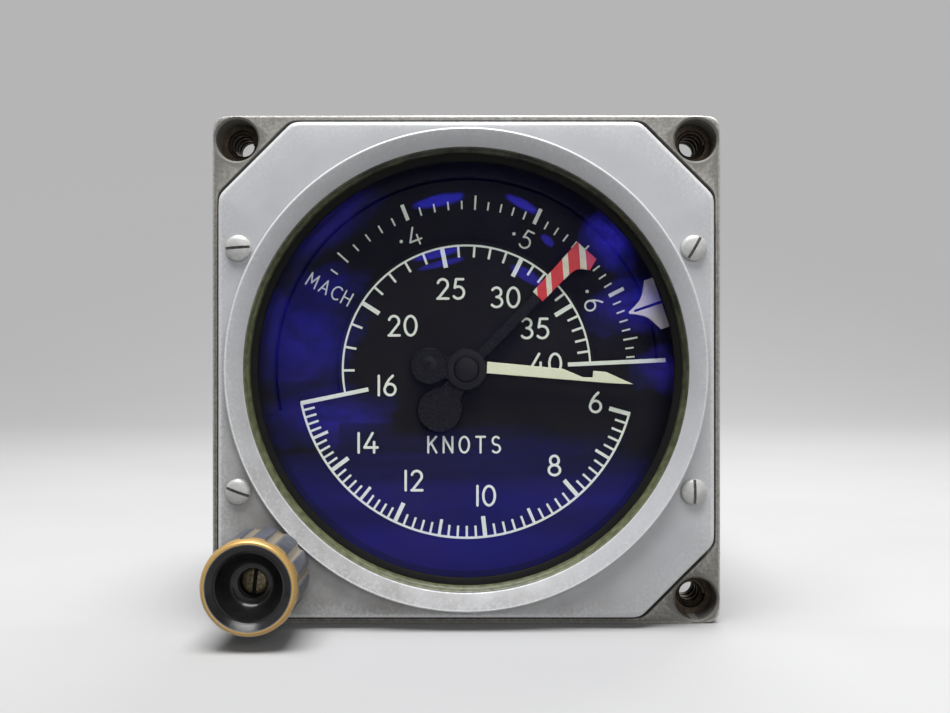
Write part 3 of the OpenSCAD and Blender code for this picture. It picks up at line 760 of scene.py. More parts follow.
class Finishes:
    """Every finish of the instrument, built once and looked up by its record slot."""

    def __init__(self) -> None:
        """Builds the materials."""
        edge_grey = ((0.0, shade(188, 190, 192)), (1.0, shade(208, 209, 210)))
        brass = shade(176, 142, 84)
        knob_wear = ((0.0, shade(60, 61, 66)), (0.5, shade(152, 144, 124)), (0.8, shade(168, 157, 133)))
        knob_wear += ((0.92, shade(166, 130, 68)), (1.0, shade(194, 157, 94)))
        made = [
            # The cast grey darkens towards the lower left, in patches.
            Finish("cast_grey", shade(136, 134, 128), shade(122, 120, 114),
                   2.2, 0.26, 0.45, 0.6, (0.5, 0.75), 0.25,
                   worn=((0.0, shade(150, 147, 141)), (1.0, shade(196, 194, 189))), worn_metal=0.4,
                   soil=shade(72, 67, 58), soil_most=0.36),
            # The darkening over the bezel's lower left is handling dirt together with painted shadow that the
            # raised ring casts on the plate below it.
            Finish("bezel_grey", shade(177, 178, 181), shade(170, 171, 174),
                   9.0, 0.22, 0.09, 0.25, (0.42, 0.58), worn=edge_grey, worn_metal=0.1,
                   soil=shade(106, 100, 89), soil_span=(-14.0, -54.0), soil_most=0.85),
            Finish("screw_steel", shade(184, 184, 184), shade(170, 170, 168),
                   1.2, 0.16, 0.14, 0.25, (0.36, 0.55), 0.2,
                   worn=((0.0, shade(192, 191, 188)), (1.0, shade(214, 213, 209))), worn_metal=0.3),
            # The slots' finish, darker than the screw heads: painted shade in the slots.
            Finish("slot_shade", shade(104, 101, 95), shade(78, 75, 70), 0.6, 0.15, 0.3, 0.2, (0.6, 0.8)),
            Finish("shaft_steel", shade(160, 160, 158), shade(140, 140, 138),
                   2.0, 0.2, 0.15, 0.1, (0.25, 0.4), 0.9),
            Finish("link_aluminium", shade(176, 178, 178), shade(160, 162, 164),
                   3.0, 0.25, 0.12, 0.12, (0.35, 0.5), 0.9),
            Finish("brass", brass, shade(140, 108, 60), 2.2, 0.25, 0.18, 0.12, (0.28, 0.48), 0.9,
                   worn=((0.0, brass), (1.0, shade(214, 184, 124))), worn_metal=0.9),
            Finish("insert_bronze", shade(84, 72, 58), shade(52, 44, 37),
                   1.0, 0.2, 0.3, 0.25, (0.35, 0.55), 0.7),
            Finish("screw_bronze", shade(128, 115, 88), shade(68, 60, 45),
                   0.5, 0.2, 0.4, 0.4, (0.3, 0.45), 0.5),
            Finish("capsule_bronze", shade(188, 152, 98), shade(166, 126, 80),
                   3.0, 0.3, 0.14, 0.1, (0.25, 0.42), 0.9),
            # The near-black laid over the seal's top and right is painted shade, where light from above
            # leaves the seal in shadow.
            Finish("seal_olive", shade(112, 116, 84), shade(78, 82, 54), 1.2, 0.3, 0.3, 0.5, (0.28, 0.48),
                   soil=shade(13, 13, 10), soil_span=(-8.0, 28.0), soil_most=0.97),
            Finish("gasket_black", shade(15, 15, 14), shade(10, 10, 10),
                   2.0, 0.3, 0.3, 0.3, (0.6, 0.8), sheen=0.15),
            Finish("inner_black", shade(22, 22, 21), shade(16, 16, 16),
                   5.0, 0.25, 0.25, 0.2, (0.5, 0.7), sheen=0.25),
            Finish("dial_black", shade(25, 25, 23), shade(29, 29, 27),
                   7.0, 0.2, 0.2, 0.12, (0.6, 0.75), sheen=0.12),
            Finish("hub_black", shade(11, 11, 11), shade(15, 15, 15),
                   1.4, 0.2, 0.2, 0.2, (0.42, 0.56), sheen=0.3,
                   worn=((0.0, shade(12, 12, 12)), (1.0, shade(17, 18, 18)))),
            Finish("print_pale", shade(244, 251, 238), shade(236, 244, 228),
                   1.6, 0.14, 0.05, 0.06, (0.6, 0.75), sheen=0.2),
            Finish("pointer_cream", shade(238, 242, 210), shade(230, 234, 202),
                   3.0, 0.2, 0.04, 0.06, (0.5, 0.65), sheen=0.2),
            Finish("bug_white", shade(240, 236, 226), shade(228, 222, 212), 2.5, 0.2, 0.06, 0.1, (0.5, 0.65),
                   sheen=0.2),
            Finish("knob_black", shade(76, 79, 88), shade(96, 99, 108),
                   1.6, 0.2, 0.35, 0.35, (0.34, 0.5), 0.1, coat=0.1, worn=knob_wear, worn_metal=0.45,
                   worn_rough=0.4, ragged=0.12),
            Finish("knob_gloss", shade(24, 24, 25), shade(31, 31, 32), 1.8, 0.22, 0.2, 0.08, (0.16, 0.26)),
        ]
        self.by_slot = {finish.name: finish.build() for finish in made}
        self.by_slot["limit_red"] = StripeFinish().build()
        self.by_slot["glass"] = GlassFinish().build()

    def __getitem__(self, slot: str) -> bpy.types.Material:
        """Gives the material of a slot."""
        return self.by_slot[slot]


def settle(obj: bpy.types.Object, body: str, node: str, crease: float) -> None:
    """Shades a finished piece and ties it to its body.

    Args:
        obj: The piece.
        body: The body that it moves with.
        node: The CAD node that it stands for.
        crease: Edges sharper than this, in degrees, stay sharp.
    """
    mesh = obj.data
    mesh.polygons.foreach_set("use_smooth", [True] * len(mesh.polygons))
    mesh.set_sharp_from_angle(angle=math.radians(crease))
    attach(obj, body)
    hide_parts(node)
    LOG.info("%s rides on %s, %d faces", obj.name, body, len(mesh.polygons))


@dataclass
class Assembly:
    """A sub-assembly, whose pieces take the instrument's finishes."""

    finishes: Finishes

    def piece(
        self,
        skin: Skin,
        name: str,
        node: str,
        slot: str,
        body: str = "case",
        looks: Sequence[str] = (),
        crease: float = 32.0,
        joined: Skin | None = None,
        cuts: Skin | None = None,
    ) -> bpy.types.Object:
        """Makes one piece from its faces and settles it.

        Args:
            skin: Its faces, which are used up.
            name: The piece's name.
            node: The CAD node that it stands for.
            slot: The record slot of its finish.
            body: The body that it moves with.
            looks: Its finishes by tint, where they aren't just the slot's.
            crease: Edges sharper than this, in degrees, stay sharp.
            joined: A shape that is joined on.
            cuts: A shape that is cut away after that.

        Returns:
            The piece.
        """
        obj = skin.object(name, [self.finishes[look] for look in looks or (slot,)])
        if joined:
            carve(obj, joined, "UNION")
        if cuts:
            carve(obj, cuts)
        settle(obj, body, node, crease)
        return obj


@dataclass
class Outline:
    """A straight-sided outline with slightly rounded corners, seen from the dial axis."""

    sides: tuple[Flat, ...]
    sharpness: float

    def loop(self, angles: Sequence[float], draw_in: float, y: float) -> Loop:
        """Makes the outline as a loop.

        Args:
            angles: Bearing of each point, in degrees from +X towards +Z.
            draw_in: How far every side moves inwards.
            y: Its place along Y.

        Returns:
            The loop's points.
        """
        points = []
        for angle in angles:
            near = 0.0
            for facing, distance in self.sides:
                lean = math.cos(math.radians(angle - facing)) / (distance - draw_in)
                near += max(0.0, lean * OUTLINE_SCALE) ** self.sharpness
            reach = OUTLINE_SCALE / near ** (1 / self.sharpness)
            points.append((reach * math.cos(math.radians(angle)), y, reach * math.sin(math.radians(angle))))
        return points


def fine_angles(corners: Sequence[float]) -> list[float]:
    """Gives bearings round the axis, closer together near the corners."""
    near = {round(corner + step / 5, 3) % 360 for corner in corners for step in range(-9, 10)}
    return sorted(near | {float(i) for i in range(360)})


def ring_loop(angles: Sequence[float], radius: float, y: float) -> Loop:
    """Makes a round loop with its points at the given bearings."""
    turns = [math.radians(a) for a in angles]
    return [(radius * math.cos(t), y, radius * math.sin(t)) for t in turns]


@dataclass
class Case(Assembly):
    """The cast case: square flange, lugs, collar, barrel, rear cover and pressure unions."""

    half: float = 41.3
    corner_sharpness: float = 44.0
    flange_back: float = 6.0
    seat: float = 0.8
    groove: float = 2.4
    groove_w: Flat = (0.95, 1.35)
    cavity_r: float = 38.9
    ledge_r: float = 35.8
    ledge: Flat = (12.0, 15.0)
    collar_r: float = 40.9
    barrel_r: float = 39.7
    barrel_in: float = 37.6
    barrel_end: float = 92.0
    cover: Flat = (92.8, 96.0)
    lug_at: float = 37.3
    lug_r: float = 4.0
    lug_end: float = 15.0
    hole_r: float = 3.45
    hole_bevel: float = 0.32
    insert_front: float = 5.0
    insert_bore: float = 2.1
    boss_front: float = 5.0
    boss_r: float = 9.6
    boss_end: float = 11.5
    pocket_r: float = 8.3
    pocket_end: float = 9.5
    shaft_bore: float = 1.6
    cover_screws: int = 6
    cover_screw_seed: int = 4
    union_x: float = 16.5
    union_z: float = -19.0
    hex_reach: float = 8.25
    hex_steps: int = 120
    spigot_r: float = 5.55
    union_bore: float = 2.2
    nose: float = 16.0
    fine_steps: int = 72
    thread: ThreadTree = field(default_factory=ThreadTree)

    @property
    def lugs(self) -> list[Flat]:
        """The middles of the three lug holes."""
        return [(-self.lug_at, self.lug_at), (self.lug_at, self.lug_at), (self.lug_at, -self.lug_at)]

    def build(self, bezel: Bezel) -> None:
        """Builds every piece of the case.

        Args:
            bezel: The bezel, whose outline the seat follows.
        """
        self.body(bezel)
        self.inserts()
        self.rear_cover()
        for name, side in (("pitot_union", -1), ("static_union", 1)):
            self.union(name, side * self.union_x)

    def boss(
        self, skin: Skin, centre: Flat, radius: float, end: float, bevel: float, steps: int = ROUND
    ) -> None:
        """Adds a round boss behind the flange, with a bevelled end.

        Args:
            skin: What takes the boss.
            centre: Its middle as (x, z).
            radius: Its radius.
            end: Its end along Y.
            bevel: How far the edge of its end is drawn in.
            steps: Points in a round.
        """
        front = self.boss_front
        profile = [(0, front), (radius, front), (radius, end - bevel), (radius - bevel, end), (0, end)]
        skin.turn(profile, centre, steps=steps)

    def body(self, bezel: Bezel) -> None:
        """Builds the casting as one skin from the seat round to the cavity.

        Args:
            bezel: The bezel, whose outline the seat follows.
        """
        angles, grown, back = bezel.angles, bezel.outline, self.flange_back
        square = Outline(tuple((a, self.half) for a in (0, 90, 180, 270)), self.corner_sharpness)
        along, across = self.groove_w
        moat = Outline(tuple((a, d + (across if a % 90 else along)) for a, d in grown.sides), grown.sharpness)
        edges = (
            (grown, 0.05, self.seat, 0.0), (grown, 0.05, self.groove, 0.0), (moat, 0.0, self.groove, 0.0),
            (moat, 0.0, 0.12, 0.4), (moat, -0.1, 0.0, 0.6), (square, 0.5, 0.0, 0.3),
            (square, 0.14, 0.12, 1.0), (square, 0.0, 0.45, 0.8), (square, 0.0, back - 0.3, 0.2),
            (square, 0.06, back - 0.1, 0.8), (square, 0.2, back, 0.3))
        shelf, step = self.ledge
        rounds = (
            (self.collar_r, back, 0.0), (self.collar_r, step - 0.5, 0.1),
            (self.collar_r - 0.15, step - 0.15, 0.9), (self.collar_r - 0.5, step, 0.3),
            (self.barrel_r + 0.25, step, 0.0), (self.barrel_r, step + 0.25, 0.0),
            (self.barrel_r, self.barrel_end - 0.3, 0.2), (self.barrel_r - 0.3, self.barrel_end, 0.6),
            (self.barrel_in, self.barrel_end, 0.0), (self.barrel_in, step, 0.0), (self.ledge_r, step, 0.0),
            (self.ledge_r, shelf, 0.0), (self.cavity_r, shelf, 0.0), (self.cavity_r, self.seat, 0.0))
        loops = [outline.loop(angles, draw_in, y) for outline, draw_in, y, _ in edges]
        loops += [ring_loop(angles, radius, y) for radius, y, _ in rounds]
        skin = Skin()
        skin.loft(loops, [row[-1] for row in edges + rounds], Ends.JOINED)
        bosses, cuts = Skin(), Skin()
        mouth, through = self.hole_r + self.hole_bevel, self.lug_end + 1
        for lug in self.lugs:
            self.boss(bosses, lug, self.lug_r, self.lug_end, 0.3, self.fine_steps)
            cuts.turn([(0, -1), (mouth, -1), (mouth, 0.04), (self.hole_r, 0.34), (self.hole_r, through),
                       (0, through)], lug, steps=self.fine_steps)
        self.boss(bosses, KNOB_AT, self.boss_r, self.boss_end, 0.4)
        pocket, floor = self.seat - 0.4, self.boss_end - 0.6
        cuts.turn([(0, pocket), (self.pocket_r, pocket), (self.pocket_r, self.pocket_end),
                   (self.shaft_bore, self.pocket_end), (self.shaft_bore, floor), (0, floor)],
                  KNOB_AT, steps=self.fine_steps)
        self.piece(skin, "case_casting", "case_body", "cast_grey", joined=bosses, cuts=cuts)

    def wind(
        self, skin: Skin, start: Point, turns: float, radius: float, length: float, ridge: float, look: str
    ) -> None:
        """Winds a screw thread onto a piece.

        Args:
            skin: The piece's faces.
            start: Where the thread's axis starts.
            turns: How often it goes round.
            radius: Radius of the ridge's middle line.
            length: How far it reaches along Y.
            ridge: Radius of the ridge itself.
            look: Its finish.
        """
        values = {"Turns": turns, "Start": tuple(c * MM for c in start), "Finish": self.finishes[look]}
        values |= {"Radius": radius * MM, "Length": length * MM, "Ridge": ridge * MM}
        skin.take(self.thread.run(values))

    def inserts(self) -> None:
        """Builds the threaded inserts, each with its thread wound into the bore."""
        skin = Skin()
        front, back, bore = self.insert_front, self.lug_end, self.insert_bore
        for lug in self.lugs:
            skin.turn([(bore + 0.35, front), (self.hole_r, front), (self.hole_r, back), (bore + 0.3, back),
                       (bore + 0.16, back - 0.3), (bore + 0.16, front + 0.4)],
                      lug, Ends.JOINED, self.fine_steps)
            self.wind(skin, (lug[0], front + 0.5, lug[1]), 11.0, bore + 0.06, 9.0, 0.42, "insert_bronze")
        self.piece(skin, "lug_inserts", "thread_inserts", "brass", looks=["insert_bronze"])

    def rear_cover(self) -> None:
        """Builds the rear cover, its gasket and its ring of screws."""
        low, high = self.cover
        r, end = self.barrel_r, self.barrel_end
        skin = Skin()
        skin.turn([(0, low), (r - 0.3, low), (r, low + 0.3, 0.6), (r, high - 0.6, 0.5),
                   (r - 0.2, high - 0.2, 1.0), (r - 0.7, high, 0.6), (r - 4.6, high), (r - 4.8, high - 0.25),
                   (0, high - 0.25)])
        self.piece(skin, "rear_cover_plate", "rear_cover", "cast_grey")
        skin = Skin()
        inside = self.barrel_in
        skin.turn([(r - 0.1, end), (r - 0.1, low), (inside, low), (inside, end)], ends=Ends.JOINED)
        self.piece(skin, "rear_gasket", "rear_cover_seal", "gasket_black")
        seat, foot, finish = high - 0.05, end - 5.5, self.finishes["screw_steel"]
        skin = Skin()
        skin.turn([(0, seat + 1.4), (1.5, seat + 1.35, 0.5), (1.9, seat + 1.15, 1.0), (2.0, seat + 0.9, 0.6),
                   (2.0, seat), (1.0, seat), (1.0, foot), (0, foot)], steps=48)
        screw = skin.object("cover_screw", [finish])
        carve(screw, slot_tool([((0.0, 0.0), 0.0)], (seat + 0.8, seat + 3), 0.6))
        values = {"Count": self.cover_screws, "Radius": (inside - 2) * MM, "Seed": self.cover_screw_seed}
        values["Finish"] = finish
        skin = Skin()
        skin.take(RingTree().run(values, screw))
        self.piece(skin, "rear_cover_screws_set", "rear_cover_screws", "screw_steel")

    def union(self, name: str, x: float) -> None:
        """Builds one pressure union: hexagon, thread and flared nose.

        Args:
            name: The CAD node that it stands for.
            x: Where its middle lies along X.
        """
        centre = (x, self.union_z)
        back = self.cover[1]
        faces = [math.radians(60 * i + 30) for i in range(6)]
        flat = self.hex_reach * math.cos(math.radians(30))
        skin = Skin()
        loops, worn = [], []
        for cap, y, rub in ((6.9, 0.0, 0.0), (8.3, 0.9, 1.0), (8.3, 4.1, 1.0), (7.0, 5.0, 0.6)):
            loop = []
            for t in (TAU * i / self.hex_steps for i in range(self.hex_steps)):
                reach = min(cap, flat / max(math.cos(t - f) for f in faces))
                loop.append((x + reach * math.cos(t), back + y, self.union_z + reach * math.sin(t)))
            loops.append(loop)
            worn.append(rub)
        skin.loft(loops, worn)
        core, nose = self.spigot_r - 0.42, back + self.nose
        bore = self.union_bore
        skin.turn([(bore, back + 4.5), (core, back + 4.5), (core, nose - 2.2), (core - 0.3, nose - 1.9, 0.7),
                   (3.1, nose - 0.15, 0.8), (2.9, nose, 1.0), (bore + 0.2, nose, 0.6), (bore, nose - 0.3)],
                  centre, Ends.JOINED, self.fine_steps)
        skin.turn([(0, back - 7.4), (4.0, back - 7.4), (4.0, back + 0.2), (0, back + 0.2)], centre, steps=48)
        self.wind(skin, (x, back + 6.0, self.union_z), 6.0, core + 0.06, 7.4, 0.36, "brass")
        self.piece(skin, name + "_fitting", name, "brass")


def slot_tool(slots: Sequence[tuple[Flat, float]], depth: Flat, width: float) -> Skin:
    """Makes the cutter of one or more screwdriver slots.

    Args:
        slots: Each screw's middle, and its slot's bearing from +X towards +Z in degrees.
        depth: Front and back of the cutter along Y.
        width: Width of a slot.

    Returns:
        The cutter.
    """
    tool = Skin()
    for centre, angle in slots:
        turn, middle = math.radians(angle), Vector(centre)
        along = Vector((math.cos(turn), math.sin(turn))) * SLOT_REACH
        side = Vector((-math.sin(turn), math.cos(turn))) * width / 2
        corners = [middle - along - side, middle + along - side, middle + along + side, middle - along + side]
        # Slot faces take tint 1, the darker finish that is painted shade in the slot.
        tool.loft([at_depth(corners, y) for y in depth], tint=1)
    return tool


@dataclass
class Bezel(Assembly):
    """The enamelled bezel with its raised ring, its screws, the glass, its seal and its keeper."""

    half: float = 39.5
    chamfer_at: float = 47.52
    front: float = -4.4
    back: float = 0.8
    bevel: float = 0.8
    ring_r: float = 38.2
    crest: float = -6.6
    window_r: float = 35.3
    window_front: float = -5.2
    pocket_r: float = 37.1
    pocket: float = -3.4
    glass: Flat = (-2.6, 0.2)
    glass_r: float = 36.9
    seal_r: float = 37.0
    keeper_r: float = 37.05
    keeper_back: float = 1.6
    screw_at: Flat = (36.1, 19.3)
    screw_r: float = 2.05
    screw_brow: float = -5.0
    screw_rise: float = 0.75
    screw_seat: float = -4.35
    shank: Flat = (1.0, 5.0)
    slot_w: float = 0.44
    slot_floor: float = -5.25
    slot_turns: tuple[tuple[int, int, float], ...] = (
        (-1, 1, 4.0), (1, 1, 60.0), (-1, -1, -20.0), (1, -1, 90.0))
    sharpness: float = 140.0
    smooth_steps: int = 192
    bush_r: float = 3.0

    def __post_init__(self) -> None:
        """Works out the outline and the bearings of its points."""
        corner = math.degrees(math.atan2(self.chamfer_at * math.sqrt(2) - self.half, self.half))
        sides = tuple((a, self.half) for a in (0.0, 90.0, 180.0, 270.0))
        chamfers = tuple((a, self.chamfer_at) for a in (45.0, 135.0, 315.0))
        self.outline = Outline(sides + chamfers, self.sharpness)
        turns = [corner, 90 - corner, 90 + corner, 180 - corner, 270 + corner, 360 - corner]
        self.angles = fine_angles(turns + [45.0, 135.0, 225.0, 315.0])

    def build(self) -> None:
        """Builds every piece of the bezel."""
        self.frame()
        self.screws()
        self.glazing()

    def frame(self) -> None:
        """Builds the bezel as one skin, from its edge over the ring to the glass pocket."""
        front, crest, ring, window = self.front, self.crest, self.ring_r, self.window_r
        edges = (
            (0.0, self.back, 0.0), (0.0, front + self.bevel, 0.35), (0.1, front + 0.42, 1.0),
            (0.34, front + 0.14, 1.0), (self.bevel, front, 0.45))
        rounds = (
            (ring + 0.14, front, 0.0), (ring, front - 0.14, 0.0), (ring, crest + 0.42, 0.1),
            (ring - 0.1, crest + 0.14, 0.9), (ring - 0.3, crest, 1.0), (ring - 0.52, crest + 0.06, 0.4),
            (window + 0.2, self.window_front - 0.09, 0.2), (window + 0.05, self.window_front + 0.02, 0.9),
            (window, self.window_front + 0.16, 0.6), (window, self.pocket, 0.0),
            (self.pocket_r, self.pocket, 0.0), (self.pocket_r, self.back, 0.0))
        loops = [self.outline.loop(self.angles, draw_in, y) for draw_in, y, _ in edges]
        loops += [ring_loop(self.angles, radius, y) for radius, y, _ in rounds]
        skin, hole = Skin(), Skin()
        skin.loft(loops, [row[-1] for row in edges + rounds], Ends.JOINED)
        hole.turn([(0, -8), (self.bush_r, -8), (self.bush_r, 2), (0, 2)], KNOB_AT, steps=48)
        self.piece(skin, "bezel_frame", "bezel", "bezel_grey", crease=40.0, cuts=hole)

    def screws(self) -> None:
        """Builds the four domed screws, each slot turned as it was left."""
        shank_r, shank_end = self.shank
        profile = [(0.0, self.screw_brow - self.screw_rise)]
        for lean in range(10, 91, 10):
            out, up = math.sin(math.radians(lean)), math.cos(math.radians(lean))
            profile.append((self.screw_r * out, self.screw_brow - self.screw_rise * up, lean / 110))
        profile += [(self.screw_r, self.screw_seat - 0.27, 0.4), (self.screw_r, self.screw_seat)]
        profile += [(shank_r, self.screw_seat), (shank_r, shank_end), (0, shank_end)]
        heads, slots = Skin(), []
        for x, z, turn in self.slot_turns:
            slots.append(((x * self.screw_at[0], z * self.screw_at[1]), turn))
            heads.turn(profile, slots[-1][0], steps=64)
        cuts = slot_tool(slots, (-8.0, self.slot_floor), self.slot_w)
        self.piece(heads, "bezel_screw_set", "bezel_screws", "screw_steel",
                   looks=["screw_steel", "slot_shade"], crease=45.0, cuts=cuts)

    def glazing(self) -> None:
        """Builds the glass, the olive seal in front of it and the keeper behind it."""
        near, far = self.glass
        r, w, top, steps = self.glass_r, self.window_r, self.window_front, self.smooth_steps
        skin = Skin()
        skin.turn([(0, near), (r - 0.3, near), (r, near + 0.3), (r, far - 0.3), (r - 0.3, far), (0, far)],
                  steps=steps)
        self.piece(skin, "glass_disc", "glass", "glass").visible_shadow = False
        skin = Skin()
        skin.turn([(self.seal_r, near), (self.seal_r, self.pocket), (w - 0.03, self.pocket),
                   (w - 0.03, top + 0.2), (w - 0.14, top + 0.24), (w - 0.3, top + 0.46), (w - 0.4, top + 0.9),
                   (w - 0.52, top + 1.0), (w - 0.72, top + 1.3), (w - 0.8, top + 1.8), (w - 0.84, near - 0.2),
                   (w - 0.84, near)], ends=Ends.JOINED, steps=steps)
        skin.turn([(w - 0.8, near - 0.45), (w - 0.95, near - 0.42), (w - 1.85, near - 0.36),
                   (w - 2.0, near - 0.2), (w - 2.0, near - 0.01), (w - 0.8, near - 0.01)],
                  ends=Ends.JOINED, steps=steps, tint=1)
        self.piece(skin, "glass_seal_bead", "glass_seal", "seal_olive", looks=["seal_olive", "gasket_black"],
                   crease=60.0)
        skin = Skin()
        r, back = self.keeper_r, self.keeper_back
        skin.turn([(w - 0.9, far + 0.25), (w - 0.7, far), (r, far), (r, back), (w - 0.7, back),
                   (w - 0.9, back - 0.25)], ends=Ends.JOINED, steps=steps)
        self.piece(skin, "glass_keeper_ring", "glass_keeper", "inner_black")


@dataclass
class Knob(Assembly):
    """The fluted setting knob with its dished front and its screw."""

    at: Flat = KNOB_AT
    radius: float = 7.25
    front: float = -20.4
    length: float = 13.6
    dish: float = 4.3
    screw_depth: float = 3.1
    screw_head: float = 1.4
    screw_turn: float = 83.5
    flutes: int = 12
    flute_r: float = 1.05
    flute_out: float = 0.55
    flute_rise: float = 0.6
    flute_wear: float = 0.82
    phase: float = 5.0
    steps_per_flute: int = 22

    def reach(self, turn: float, radius: float, depth: float) -> tuple[float, float]:
        """Gives the knob's radius and wear at one bearing.

        Args:
            turn: Bearing in radians.
            radius: Radius without the flute.
            depth: How far the flute is sunk here, from 0 to 1.

        Returns:
            The radius, and how far the point lies in a flute.
        """
        pitch = TAU / self.flutes
        off = (turn - math.radians(self.phase) + pitch / 2) % pitch - pitch / 2
        middle = self.radius + self.flute_out + (1 - depth) * self.flute_rise
        room = self.flute_r**2 - (middle * math.sin(off)) ** 2
        if depth <= 0 or room <= 0:
            return radius, 0.0
        sunk = middle * math.cos(off) - math.sqrt(room)
        return min(radius, sunk), smooth_step(0.0, 0.35, radius - sunk)

    def build(self) -> None:
        """Builds the knob and its screw."""
        floor = self.dish + self.screw_depth
        self.barrel(floor)
        self.screw(self.front + floor - self.screw_head)

    def outside(self) -> list[Point]:
        """Gives radius, depth and wear along the outside, from the rim back to the axis."""
        r, end = self.radius, self.length
        profile = [(6.28, 0.08, 0.2), (6.36, 0.03, 0.5), (6.46, 0.0, 1.0), (6.58, 0.0, 1.3)]
        profile += [(6.7, 0.03, 1.3), (6.86, 0.16, 1.3)]
        profile += [(6.93 + 0.07 * i, 0.34 + 0.12 * i, 1.3) for i in range(4)]
        profile += [(7.15 + 0.02 * i, 0.8 + 0.15 * i, 1.3) for i in range(5)]
        profile += [(7.24, 1.55, 1.2), (r, 1.7, 0.8), (r, 1.8, 0.3), (r, 2.1, 0.05), (r, 2.4, 0.05)]
        profile += [(r, 2.7 + 0.2 * i, 0.08) for i in range(4)]
        profile += [(r, 3.5 + 1.0 * i, 0.08) for i in range(10)]
        return profile + [(7.22, 12.9, 0.4), (7.1, 13.35, 0.5), (6.7, end, 0.2), (0.0, end, 0.0)]

    def barrel(self, floor: float) -> None:
        """Builds the fluted knob with its glossy dish.

        Args:
            floor: Depth of the screw's seat behind the rim.
        """
        count = self.flutes * self.steps_per_flute
        hollow = [(0.0, floor), (2.2, floor), (2.2, self.dish + 0.15)]
        for share in (0.0, 0.15, 0.3, 0.45, 0.6, 0.72, 0.82, 0.9, 0.96, 1.0):
            hollow.append((2.3 + 2.7 * share, 0.95 + (self.dish - 0.95) * (1 - share**2.2)))
        hollow += [(5.3, 1.0), (5.36, 0.95), (5.38, 0.75), (5.45, 0.7), (6.28, 0.08)]
        loops, worn = [], []
        for radius, down, rub in self.outside():
            depth = smooth_step(0.6, 1.5, down) if radius > 6.5 else 0.0
            loop, marks = [], []
            for turn in (TAU * i / count for i in range(count)):
                reach, sunk = self.reach(turn, radius, depth)
                x, z = self.at[0] + reach * math.cos(turn), self.at[1] + reach * math.sin(turn)
                loop.append((x, self.front + down, z))
                marks.append(rub + (self.flute_wear - rub) * sunk)
            loops.append(loop)
            worn.append(marks)
        skin = Skin()
        skin.loft(loops, worn, Ends.OPEN)
        skin.loft([circle(r, self.front + down, self.at, count) for r, down in hollow], None, Ends.OPEN, 1)
        self.piece(skin, "fluted_knob", "knob", "knob_black", "knob", ["knob_black", "knob_gloss"], 38.0)

    def screw(self, head: float) -> None:
        """Builds the slotted screw in the dish.

        Args:
            head: Front of its head along Y.
        """
        foot = head + self.screw_head
        skin = Skin()
        skin.turn([(0, head), (1.5, head + 0.05, 0.3), (1.9, head + 0.2, 1.0), (2.05, head + 0.45, 0.6),
                   (2.05, foot), (0, foot)], self.at, steps=48)
        cuts = slot_tool([(self.at, self.screw_turn)], (head - 1, head + 0.7), 0.6)
        # The slot takes the black gasket finish as painted shade in the slot.
        looks = ["screw_bronze", "gasket_black"]
        self.piece(skin, "knob_screw_head", "knob_screw", "screw_steel", "knob", looks, 45.0, cuts=cuts)


@dataclass(frozen=True)
class Label:
    """A few figures or letters on the dial: text, middle, height, tilt and stroke."""

    text: str
    x: float
    z: float
    height: float = 3.2
    tilt: float = 0.0
    width: float = 0.41
    gap: float = 0.27


